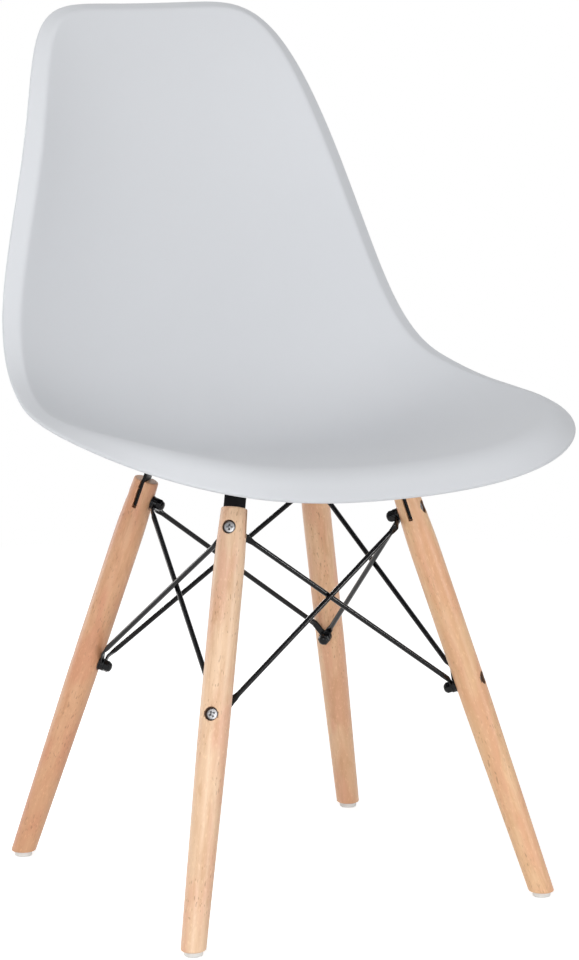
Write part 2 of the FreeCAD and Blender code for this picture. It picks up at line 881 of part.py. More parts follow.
def bend_distances(normal, outs, alongs, inner):
    """How far from its two eyes a rod bends: an inner one as much nearer as it takes to pass the outer."""
    if not inner:
        return [outer_bend_distance, outer_bend_distance]
    needed = 2.0 * (2.0 * rod_radius + rod_crossing_gap)
    needed -= sum(eye_thickness * normal.dot(out) for out in outs)
    needed -= (outer_bend_distance - inner_low_bend_distance) * normal.dot(alongs[0])
    return [inner_low_bend_distance, outer_bend_distance - needed / normal.dot(alongs[1])]


def brace_rod(low, high, inner):
    """Rod from one leg's lower bolt to its neighbour's upper bolt, pressed flat into an eye at each end.

    The eye lies flat against the leg, and the strip beside it bends towards the other leg. The inner rod
    bends nearer to its eye, so that it passes the outer one where they cross.
    """
    normal = side_normal(low, high)
    layer = 1.5 if inner else 0.5
    eyes = []
    for corner, drop in ((low, lower_bolt_drop), (high, upper_bolt_drop)):
        eyes.append(corner.on_axis(drop) - corner.out * (eye_seat(drop) + layer * eye_thickness))
    outs = [low.out, high.out]
    bends = eyes
    for step in range(4):
        run = (bends[1] - bends[0]).normalize()
        alongs = [(run - out * run.dot(out)).normalize() * way for out, way in zip(outs, (1.0, -1.0))]
        distances = bend_distances(normal, outs, alongs, inner)
        bends = [eye + along * distance for eye, along, distance in zip(eyes, alongs, distances)]
    straight = (bends[1] - bends[0]).Length - 2.0 * press_start
    rod = Part.makeCylinder(rod_radius, straight, bends[0] + run * press_start, run)
    for eye, bend, out, along, way in zip(eyes, bends, outs, alongs, (run, run * -1.0)):
        for wedge in press_wedges(bend, way, out.cross(along)):
            rod = rod.cut(wedge)
    for eye, bend, out, along, way in zip(eyes, bends, outs, alongs, (run, run * -1.0)):
        rod = rod.fuse(bent_strip(eye, bend, out, along, way))
        rod = rod.fuse(Part.makeCylinder(eye_radius, eye_thickness, eye - out * (eye_thickness / 2.0), out))
        rod = rod.cut(Part.makeCylinder(bolt_hole_radius, 3.0 * eye_thickness, eye - out * (1.5 * eye_thickness), out))
    return rod


def all_nodes():
    """Every piece by its node's name, each a list of solids."""
    nodes = {
        "seat_shell": [seat_shell()],
        "shell_inserts": shell_inserts(),
        "shell_pads": shell_pads(),
        "bracket_bar_flat": [bracket_bar(corners["front_left"], corners["rear_right"], False)],
        "bracket_bar_cranked": [bracket_bar(corners["front_right"], corners["rear_left"], True)],
        "shell_screws": shell_screws(),
    }
    for name, corner in corners.items():
        nodes["leg_" + name] = [leg(corner)]
    nodes["glides"] = glides()
    nodes["glide_nails"] = glide_nails()
    sides = {
        "front": ("front_left", "front_right"),
        "right": ("front_right", "rear_right"),
        "rear": ("rear_right", "rear_left"),
        "left": ("rear_left", "front_left"),
    }
    for side, (first, second) in sides.items():
        nodes["brace_" + side + "_outer"] = [brace_rod(corners[first], corners[second], False)]
        nodes["brace_" + side + "_inner"] = [brace_rod(corners[second], corners[first], True)]
    nodes["leg_washers"] = leg_washers()
    for level, drop in bolt_drops.items():
        nodes["leg_bolts_" + level] = leg_bolts(drop)
        nodes["cap_nuts_" + level] = cap_nuts(drop)
    return nodes


def depth_shift():
    """How far the chair moves along Y to put the middle of its depth at the origin."""
    turns = [math.pi * (i / 90.0 - 0.5) for i in range(91)]
    depths = [lip_point(turn, 1.0, depth).y for turn in turns for depth in (0.0, shell_wall)]
    return -(min(depths) + max(depths)) / 2.0


def main():
    os.makedirs("parts", exist_ok=True)
    shift = Vector(0, depth_shift(), 0)
    for name, solids in all_nodes().items():
        shape = solids[0] if len(solids) == 1 else Part.Compound(solids)
        shape.translate(shift)
        valid = shape.isValid()
        shape.exportStep("parts/" + name + ".step")
        print(name, len(shape.Solids), "valid" if valid else "NOT VALID", round(shape.Volume / 1000.0, 2))


main()
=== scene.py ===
"""Moulded shell chair on turned beech legs, braced by crossed steel rods.

Every piece is worked out in millimetres as numpy arrays and stored in metres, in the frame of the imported
model: +Z up, the chair faces -Y, and the origin is on the floor under the middle of the chair.
"""

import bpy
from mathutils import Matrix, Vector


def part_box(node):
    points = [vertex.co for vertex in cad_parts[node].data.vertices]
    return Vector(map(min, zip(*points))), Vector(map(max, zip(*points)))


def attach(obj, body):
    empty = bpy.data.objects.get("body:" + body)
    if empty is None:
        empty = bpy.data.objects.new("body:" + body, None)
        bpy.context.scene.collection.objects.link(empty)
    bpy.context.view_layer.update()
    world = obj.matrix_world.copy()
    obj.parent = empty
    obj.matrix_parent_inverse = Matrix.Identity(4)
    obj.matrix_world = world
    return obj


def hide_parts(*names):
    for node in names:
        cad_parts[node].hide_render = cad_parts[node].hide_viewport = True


bl_info = {
    "name": "Moulded Shell Chair",
    "version": (1, 0, 0),
    "blender": (4, 5, 0),
    "location": "3D View > Sidebar > Chair",
    "description": "Builds a moulded shell chair with its legs, rods and fasteners, and a plain studio",
    "category": "Object",
}

import math

import bpy
import numpy as np
from mathutils import Matrix

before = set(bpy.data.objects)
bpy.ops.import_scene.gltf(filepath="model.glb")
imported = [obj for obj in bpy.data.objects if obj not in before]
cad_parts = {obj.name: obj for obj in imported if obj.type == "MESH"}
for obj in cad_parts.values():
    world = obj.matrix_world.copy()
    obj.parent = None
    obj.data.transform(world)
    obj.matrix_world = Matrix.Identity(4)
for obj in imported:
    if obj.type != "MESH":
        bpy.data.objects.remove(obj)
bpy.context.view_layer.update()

GLIDE_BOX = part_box("glides")
BASE_Y = 500.0 * (GLIDE_BOX[0][1] + GLIDE_BOX[1][1])
FULL_TURN = 2.0 * np.pi
UP = np.array([0.0, 0.0, 1.0])
UPRIGHT = np.eye(3)
NO_QUADS = np.zeros((0, 4), int)
NO_TRIANGLES = np.zeros((0, 3), int)
BOLT_SPARE = 0.2
CORNER_SIDES = {"front_left": (-1, -1), "front_right": (1, -1), "rear_right": (1, 1), "rear_left": (-1, 1)}
# Factors on each leg's wood colours: partly each leg's own tone, partly painted light. The rear right leg is
# raised to make up for the shade it stands in, and the front right leg to paint in the light that falls on
# it.
LEG_TONES_AND_PAINTED_LIGHT = {
    "front_left": (1.04, 1.07, 1.08),
    "front_right": (1.04, 0.98, 0.86),
    "rear_right": (1.03, 0.97, 0.90),
    "rear_left": (0.85, 0.71, 0.615),
}
RODS = {
    "front": ("front_left", "front_right"),
    "right": ("front_right", "rear_right"),
    "rear": ("rear_right", "rear_left"),
    "left": ("rear_left", "front_left"),
}


def number(label, text, value, **rest):
    return bpy.props.FloatProperty(name=label, description=text, default=value, **rest)


def numbers(label, text, values, **rest):
    rest.update(name=label, description=text, default=values, size=len(values))
    return bpy.props.FloatVectorProperty(**rest)


def length(label, text, millimetres):
    """Length given in millimetres and kept in metres."""
    return number(label, text, millimetres / 1000.0, min=0.0, precision=4, unit="LENGTH")


def lengths(label, text, millimetres):
    return numbers(label, text, [value / 1000.0 for value in millimetres], precision=4, unit="LENGTH")


def turn(label, text, degrees):
    """Angle given in degrees and kept in radians."""
    return number(label, text, math.radians(degrees), subtype="ANGLE")


def turns(label, text, degrees):
    return numbers(label, text, [math.radians(value) for value in degrees], unit="ROTATION")


def share(label, text, value):
    return number(label, text, value, min=0.0, max=1.0, subtype="FACTOR")


def power(label, text, watts):
    return number(label, text, watts, min=0.0, unit="POWER")


def colour(label, text, value):
    return numbers(label, text, value, min=0.0, max=1.0, subtype="COLOR")


class ShellSizes(bpy.types.PropertyGroup):
    """Sizes and finish of the seat shell."""

    centre_line: length("Centre line", "Length from the front edge through the seat to the top edge", 718.0)
    wall: length("Wall", "Thickness of the moulding", 4.5)
    seat_slope: turn("Seat slope", "Slope of the seat, front to back", -6.7)
    back_angle: turn("Back angle", "Angle of the backrest from the floor", 77.7)
    bend_middle: length("Bend place", "Distance from the front edge to the middle of the bend", 317.0)
    bend_half: length("Half bend", "Half the length of the bend from seat to back", 179.0)
    nose_rise: turn("Nose rise", "Extra slope at the very front of the seat", 7.7)
    nose_length: length("Nose length", "Length over which the front of the seat rises", 163.0)
    top_lean: turn("Top lean", "Backward lean at the top of the back", -11.6)
    top_lean_length: length("Top lean length", "Length over which the top leans back", 224.0)
    overhang: length("Front overhang", "From the middle of the base to the front edge", 202.7)
    lowest: length("Lowest point", "Height of the lowest point of the seat", 408.5)
    half_widths: lengths(
        "Half widths",
        "Half width at six even stations, from the front to the top",
        (224.0, 232.0, 215.0, 190.0, 150.0, 119.0),
    )
    rim_heights: lengths(
        "Rim heights",
        "Height of the rim over the centre line at the same six stations",
        (32.5, 43.5, 54.0, 32.0, 27.0, 11.5),
    )
    dish_power: number("Dish power", "Power with which the dish rises to its rim", 2.2)
    front_power: number("Front corner power", "Squareness of the front corners", 4.5)
    top_power: number("Top corner power", "Squareness of the top corners", 7.7)
    front_roll: length("Front roll radius", "Radius of the waterfall at the front", 27.4)
    side_roll: length("Side roll radius", "Radius of the roll along the sides and top", 7.0)
    roll_turns: turns(
        "Roll turns",
        "Turn of the lip at the front, at the side, beside the back and at the top",
        (58.5, 36.0, 48.5, 45.3),
    )
    flanges: lengths(
        "Flanges",
        "Flat of the lip past its roll at the same four places",
        (14.5, 12.0, 15.0, 13.0),
    )
    boss_spread: length("Boss spread", "From the middle of the base to a boss, each way", 60.0)
    boss_radius: length("Boss radius", "Radius of a boss under the seat", 10.0)
    boss_foot: length("Boss foot", "Height of the lower ends of the bosses", 391.0)
    gusset_reach: length("Gusset reach", "How far a gusset reaches past its boss", 9.0)
    gusset_thickness: length("Gusset thickness", "Thickness of a gusset", 2.4)
    plastic: colour("Plastic", "Colour of the moulded plastic", (0.640, 0.656, 0.684))
    roughness: share("Roughness", "Roughness of the moulded plastic", 0.52)
    grain: share("Grain", "Strength of the fine moulded texture", 0.10)


class BaseSizes(bpy.types.PropertyGroup):
    """Sizes and finish of the legs and the bracket."""

    foot_spread: length("Foot spread", "From the middle of the base to a foot, each way", 181.0)
    top_spread: length("Top spread", "From the middle of the base to a leg's top, each way", 88.5)
    top_height: length("Leg top height", "Height of the middle of a leg's top", 375.0)
    glide_height: length("Glide height", "Thickness of the glides", 5.0)
    glide_radius: length("Glide radius", "Radius of the glides", 8.5)
    leg_top: length("Leg top radius", "Radius of a leg at its top", 11.8)
    leg_body: length("Leg body radius", "Radius of a leg's straight part", 13.8)
    leg_foot: length("Leg foot radius", "Radius of a leg at its foot", 11.3)
    top_taper: length("Top taper", "Length of the taper at the top", 46.0)
    body_length: length("Body length", "Length of the leg's straight part", 156.0)
    blend: length("Taper blend", "Half length over which a taper runs into the straight part", 22.0)
    slot_depth: length("Slot depth", "Depth of the slot in a leg's top", 27.0)
    slot_width: length("Slot width", "Width of the slot in a leg's top", 4.1)
    upper_bolt: length("Upper bolt", "From a leg's top to its upper bolt", 18.6)
    lower_bolt: length("Lower bolt", "From a leg's top to its lower bolt", 186.0)
    recess_radius: length("Recess radius", "Radius of the recess for a bolt's head", 6.1)
    recess_floor: length("Recess floor", "From a leg's axis to the floor of the recess", 7.5)
    flat_depth: length("Flat depth", "Depth of the milled flat behind a washer", 0.9)
    bar_width: length("Bar width", "Width of the bracket's bars", 20.0)
    bar_thickness: length("Bar thickness", "Thickness of the bracket's bars", 3.0)
    bar_rise: length("Bar rise", "From the leg tops up to the bars", 11.0)
    bar_bend: length("Bar bend", "Inner radius of the bends over the legs", 5.0)
    crank_half: length("Crank half length", "Half the raised length over the other bar", 15.0)
    crank_ramp: length("Crank ramp", "Length of each ramp of the crank", 7.0)
    crank_bend: length("Crank bend", "Radius of the bends of the crank", 4.0)
    blade_depth: length("Blade depth", "How far a bar's end reaches down into its leg", 25.0)
    wood: colour("Wood", "Main colour of the wood", (0.805, 0.545, 0.358))
    wood_dark: colour("Grain lines", "Colour of the darker grain", (0.620, 0.350, 0.190))
    wood_pink: colour("Pink bands", "Colour of the pinkish bands", (0.760, 0.440, 0.290))
    wood_roughness: share("Wood roughness", "Roughness of the lacquered wood", 0.42)
    flecks: share("Ray flecks", "Strength of the short dark flecks", 0.45)


class MetalSizes(bpy.types.PropertyGroup):
    """Sizes and finish of the rods and the fasteners."""

    rod_radius: length("Rod radius", "Radius of the brace rods", 2.4)
    rod_gap: length("Crossing gap", "Gap between two rods where they cross", 0.35)
    eye_radius: length("Eye radius", "Radius of a pressed eye", 5.8)
    eye_thickness: length("Eye thickness", "Thickness of a pressed eye", 2.0)
    strip_half: length("Strip half width", "Half width of the flat strip beside an eye", 3.2)
    strip_bend: length("Strip bend", "Radius of the bend between the strip and the rod", 3.0)
    outer_bend: length("Outer bend place", "From an eye to the bend of an outer rod", 17.5)
    inner_bend: length("Inner bend place", "From the lower eye to the bend of an inner rod", 9.5)
    narrow_start: length("Narrowing start", "From the bend to where the strip narrows", 2.5)
    narrow_length: length("Narrowing length", "Length over which the strip narrows to the rod", 7.0)
    press_start: length("Press start", "From the bend to where the rod grows thicker than the strip", 3.0)
    press_length: length("Press length", "Length over which the rod grows round", 6.5)
    bolt_radius: length("Bolt radius", "Radius of the bolts", 3.0)
    head_radius: length("Head radius", "Radius of a leg bolt's head", 5.55)
    head_height: length("Head height", "Height of a leg bolt's head", 2.4)
    washer_radius: length("Washer radius", "Radius of the washers", 6.2)
    washer_thickness: length("Washer thickness", "Thickness of the washers", 1.6)
    nut_flats: length("Nut across flats", "Width of the cap nuts", 10.0)
    nut_height: length("Nut height", "Height of the cap nuts", 7.4)
    nut_collar: length("Nut collar", "Height of the hexagon of a cap nut", 4.6)
    nut_dome: length("Nut dome radius", "Radius of the dome of a cap nut", 4.55)
    coat: colour("Black coat", "Colour of the powder coat", (0.003, 0.003, 0.004))
    zinc: colour("Zinc", "Colour of the zinc plating", (0.380, 0.380, 0.390))
    coat_roughness: share("Coat roughness", "Roughness of the powder coat", 0.15)


class StageLook(bpy.types.PropertyGroup):
    """Camera, light and floor."""

    azimuth: turn("Azimuth", "Camera's turn round the chair; 0 looks along +Y", -28.642)
    elevation: turn("Elevation", "Camera's angle above the horizon", 9.687)
    roll: turn("Roll", "Camera's roll", -0.295)
    focal: number("Focal length", "Focal length on a 36 mm frame", 124.62)
    camera: lengths(
        "Camera place",
        "Camera's place from the middle of the base",
        (-1445.96, -2676.95, 899.06),
    )
    ambient: number("Ambient", "Strength of the even light all round", 0.42)
    key: power("Key light", "Power of the soft light at the front left", 44.0)
    fill: power("Fill light", "Power of the soft light at the front right", 21.0)
    top: power("Top light", "Power of the overhead soft light", 21.0)
    rear: power("Rear light", "Power of the low soft light at the rear left", 9.0)
    back: power("Back light", "Power of the low soft light behind the shell", 15.0)
    floor: colour("Floor", "Colour of the floor", (0.90, 0.90, 0.90))
    floor_glow: share("Floor glow", "White that the floor shows to the camera and in reflections", 0.55)
    near_floor: length("Near floor", "Distance up to which the floor keeps shadows", 800.0)
    far_floor: length("Far floor", "Distance from which the floor is as white as the backdrop", 1700.0)


class Millimetres:
    """Values of a property group, with its lengths in millimetres."""

    def __init__(self, group):
        for key in group.__annotations__:
            value = getattr(group, key)
            if group.bl_rna.properties[key].unit == "LENGTH":
                value = value * 1000.0 if isinstance(value, float) else [each * 1000.0 for each in value]
            setattr(self, key, value)


def sizes_of(context, *names):
    """Groups of sizes by their names, in millimetres."""
    return [Millimetres(getattr(context.scene, "chair_" + name)) for name in names]


def unit(vectors):
    """Vectors divided by their lengths."""
    vectors = np.asarray(vectors, float)
    return vectors / np.linalg.norm(vectors, axis=-1, keepdims=True)


def soft_step(values):
    """Rises from 0 to 1 with no slope at either end: three times the square less twice the cube."""
    values = np.clip(values, 0.0, 1.0)
    return values * values * (3.0 - 2.0 * values)


def ease(values):
    """Rises from 0 to 1 with no slope or curvature at either end: a fifth-power polynomial."""
    values = np.clip(values, 0.0, 1.0)
    return values**3 * (values * (6.0 * values - 15.0) + 10.0)


def natural_curve(stations, fractions):
    """Cubic spline through even stations with no bend at its ends, read at fractions of its length."""
    stations = np.asarray(stations, float)
    last = len(stations) - 1
    system = np.eye(last + 1)
    pull = np.zeros(last + 1)
    for i in range(1, last):
        system[i, i - 1 : i + 2] = (1.0, 4.0, 1.0)
        pull[i] = 6.0 * (stations[i + 1] - 2.0 * stations[i] + stations[i - 1])
    bends = np.linalg.solve(system, pull)
    place = np.clip(fractions, 0.0, 1.0) * last
    i = np.minimum(place.astype(int), last - 1)
    right = place - i
    left = 1.0 - right
    straight = stations[i] * left + stations[i + 1] * right
    return straight + ((left**3 - left) * bends[i] + (right**3 - right) * bends[i + 1]) / 6.0


def circle(columns):
    """Angles evenly round a circle, and the points of the unit circle at them."""
    around = np.linspace(0.0, FULL_TURN, columns, endpoint=False)
    return around, np.stack([np.cos(around), np.sin(around)], -1)


def grid_quads(rows, columns):
    """Quads between rows of points, each row closed on itself."""
    r = np.arange(rows - 1)[:, None] * columns
    c = np.arange(columns)[None, :]
    after = (c + 1) % columns
    quads = np.stack([r + c, r + after, r + columns + after, r + columns + c], -1)
    return quads.reshape(-1, 4)


def outward(points, quads, triangles):
    """Turns all faces over if the volume under them is negative."""
    corners = np.concatenate([quads[:, [0, 1, 2]], quads[:, [0, 2, 3]], triangles])
    a, b, c = (points[corners[:, i]] for i in range(3))
    if np.einsum("ij,ij->", a, np.cross(b, c)) < 0.0:
        quads = quads[:, ::-1]
        triangles = triangles[:, ::-1]
    return points, quads, triangles


def skin(rings):
    """Closed surface over a stack of closed rings, with a fan to the middle at either end."""
    rings = np.asarray(rings, float)
    rows, columns = rings.shape[:2]
    count = rows * columns
    first = np.arange(columns)
    second = (first + 1) % columns
    last = count - columns
    fans = [
        np.stack([second, first, np.full(columns, count)], -1),
        np.stack([last + first, last + second, np.full(columns, count + 1)], -1),
    ]
    points = np.concatenate([rings.reshape(-1, 3), rings[[0, -1]].mean(1)])
    return outward(points, grid_quads(rows, columns), np.concatenate(fans))


def loop_skin(rings):
    """Closed surface over rings that also close on each other, such as a washer's."""
    rows, columns = rings.shape[:2]
    return outward(rings.reshape(-1, 3), grid_quads(rows + 1, columns) % (rows * columns), NO_TRIANGLES)


def placed(part, origin, x=UPRIGHT[0], y=UPRIGHT[1], z=UPRIGHT[2]):
    """Moves a skin to an origin with the given axes."""
    points, quads, triangles = part
    return outward(points @ np.array([x, y, z]) + origin, quads, triangles)


def build_mesh(name, skins):
    """Mesh of several skins, in metres."""
    points, corners, totals, first = [], [], [], 0
    for skin_points, quads, triangles in skins:
        points.append(skin_points)
        corners += [(quads + first).ravel(), (triangles + first).ravel()]
        totals += [np.full(len(quads), 4), np.full(len(triangles), 3)]
        first += len(skin_points)
    points = np.concatenate(points) / 1000.0
    corners = np.concatenate(corners)
    totals = np.concatenate(totals)
    mesh = bpy.data.meshes.new(name)
    mesh.vertices.add(len(points))
    mesh.vertices.foreach_set("co", points.ravel())
    mesh.loops.add(len(corners))
    mesh.loops.foreach_set("vertex_index", corners.astype(np.int32))
    mesh.polygons.add(len(totals))
    mesh.polygons.foreach_set("loop_start", (np.cumsum(totals) - totals).astype(np.int32))
    mesh.polygons.foreach_set("loop_total", totals.astype(np.int32))
    mesh.update(calc_edges=True)
    mesh.validate()
    return mesh


def mesh_array(elements, name, width=3, kind=float):
    """Values of a mesh's elements as an array."""
    values = np.empty(len(elements) * width, kind)
    elements.foreach_get(name, values)
    return values.reshape(-1, width)


def link_object(name, data):
    """New object in the scene."""
    made = bpy.data.objects.new(name, data)
    bpy.context.scene.collection.objects.link(made)
    return made


def add_piece(name, skins, material, nodes, crease=35.0):
    """Object from skins or a mesh, smooth but for creases, riding on the chair's body."""
    mesh = build_mesh(name, skins) if isinstance(skins, list) else skins
    mesh.name = name
    mesh.shade_smooth()
    mesh.set_sharp_from_angle(angle=math.radians(crease))
    mesh.materials.clear()
    mesh.materials.append(material)
    piece = link_object(name, mesh)
    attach(piece, "root")
    if nodes:
        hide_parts(*nodes)
    return piece


def cut(mesh, tools):
    """Cuts tool skins out of a mesh."""
    body = link_object("cut_body", mesh)
    helpers = []
    for i, tool in enumerate(tools):
        helper = link_object(f"cut_tool_{i}", build_mesh("tool", [tool]))
        helpers.append(helper)
        step = body.modifiers.new(f"cut_{i}", "BOOLEAN")
        step.operation = "DIFFERENCE"
        step.solver = "EXACT"
        step.object = helper
    shown = body.evaluated_get(bpy.context.evaluated_depsgraph_get())
    result = bpy.data.meshes.new_from_object(shown)
    for helper in [body] + helpers:
        bpy.data.objects.remove(helper)
    return result


def rounded_profile(corners, radius, steps=4):
    """Outline in radius and height whose inner corners are rounded by quadratic curves."""
    corners = np.asarray(corners, float)
    radii = np.broadcast_to(radius, len(corners))
    most = 0.48
    points = [corners[:1]]
    for i in range(1, len(corners) - 1):
        before = corners[i - 1] - corners[i]
        after = corners[i + 1] - corners[i]
        reach = min(radii[i], most * np.hypot(*before), most * np.hypot(*after))
        first = corners[i] + before / np.hypot(*before) * reach
        last = corners[i] + after / np.hypot(*after) * reach
        t = np.linspace(0.0, 1.0, steps + 1)[:, None]
        points.append(first * (1 - t) ** 2 + corners[i] * 2 * t * (1 - t) + last * t**2)
    points.append(corners[-1:])
    return np.concatenate(points)


def rounded_rectangle(width, height, radius, steps=4):
    """Closed outline of a rectangle with round corners."""
    corner = np.linspace(0.0, np.pi / 2.0, steps + 1)
    outline = []
    for k, (sx, sy) in enumerate(((1, 1), (-1, 1), (-1, -1), (1, -1))):
        angle = corner + k * np.pi / 2.0
        middle = np.array([sx * (width / 2.0 - radius), sy * (height / 2.0 - radius)])
        outline.append(middle + radius * np.stack([np.cos(angle), np.sin(angle)], -1))
    return np.concatenate(outline)


def turned_rings(radii, heights, around):
    """Rings round the Z axis at the given heights: a radius for each height, or for each height and angle."""
    radii = np.asarray(radii, float).reshape(len(heights), -1)
    rings = np.empty((len(heights), len(around), 3))
    rings[..., 0] = radii * np.cos(around)
    rings[..., 1] = radii * np.sin(around)
    rings[..., 2] = np.asarray(heights, float)[:, None]
    return rings


def lathe(profile, columns=48, closed=False):
    """Turned solid: a profile of radius and height carried round the Z axis."""
    profile = np.asarray(profile, float)
    rings = turned_rings(profile[:, 0], profile[:, 1], circle(columns)[0])
    return loop_skin(rings) if closed else skin(rings)


def washer(outer, inner, low, high, edge):
    """Flat ring with rounded rims."""
    middle = (low + high) / 2.0
    corners = [(inner, middle), (inner, low), (outer, low), (outer, high), (inner, high), (inner, middle)]
    return lathe(rounded_profile(corners, edge)[:-1], closed=True)


def box_skin(low, high):
    """Plain box used as a cutter."""
    outline = np.array([[0, 0, 0], [1, 0, 0], [1, 1, 0], [0, 1, 0]], float)
    low, high = np.array(low), np.array(high)
    return skin(low + np.stack([outline, outline + UP]) * (high - low))


def rounded_line(points, radii, steps=10):
    """Path of straight runs whose corners are rounded by arcs of the given radii."""
    points = np.asarray(points, float)
    path = [points[:1]]
    for i in range(1, len(points) - 1):
        arriving = unit(points[i] - points[i - 1])
        leaving = unit(points[i + 1] - points[i])
        half = math.acos(np.clip(arriving @ leaving, -1.0, 1.0)) / 2.0
        radius = radii[i - 1]
        centre = points[i] + unit(leaving - arriving) * radius / math.cos(half)
        start = points[i] - arriving * radius * math.tan(half) - centre
        angle = np.linspace(0.0, 2.0 * half, steps + 1)[:, None]
        path.append(centre + start * np.cos(angle) + arriving * radius * np.sin(angle))
    path.append(points[-1:])
    return np.concatenate(path)


def resampled(path, spacing):
    """Path with extra points so that none are further apart than the spacing, and their distances."""
    gaps = np.linalg.norm(np.diff(path, axis=0), axis=1)
    distance = np.concatenate([[0.0], np.cumsum(gaps)])
    extra = [
        np.linspace(start, start + gap, max(int(gap / spacing), 1), endpoint=False)
        for start, gap in zip(distance, gaps)
    ]
    wanted = np.concatenate(extra + [distance[-1:]])
    return np.stack([np.interp(wanted, distance, path[:, k]) for k in range(3)], -1), wanted


def carried(path, wide, across, through):
    """Section along a path: its first measure runs across, its second square to that and to the path."""
    tangent = unit(np.gradient(path, axis=0))
    wide = unit(wide - tangent * np.sum(wide * tangent, -1, keepdims=True))
    thick = np.cross(tangent, wide)
    return skin(path[:, None] + wide[:, None] * across[..., None] + thick[:, None] * through[..., None])


def swept(path, wide, half_wide, half_thick, squareness, columns=40):
    """Superellipse carried along a path, with two half widths and a squareness at each point."""
    ring = circle(columns)[1]
    bent = np.sign(ring) * np.abs(ring) ** (2.0 / squareness[:, None, None])
    return carried(path, wide, half_wide[:, None] * bent[..., 0], half_thick[:, None] * bent[..., 1])


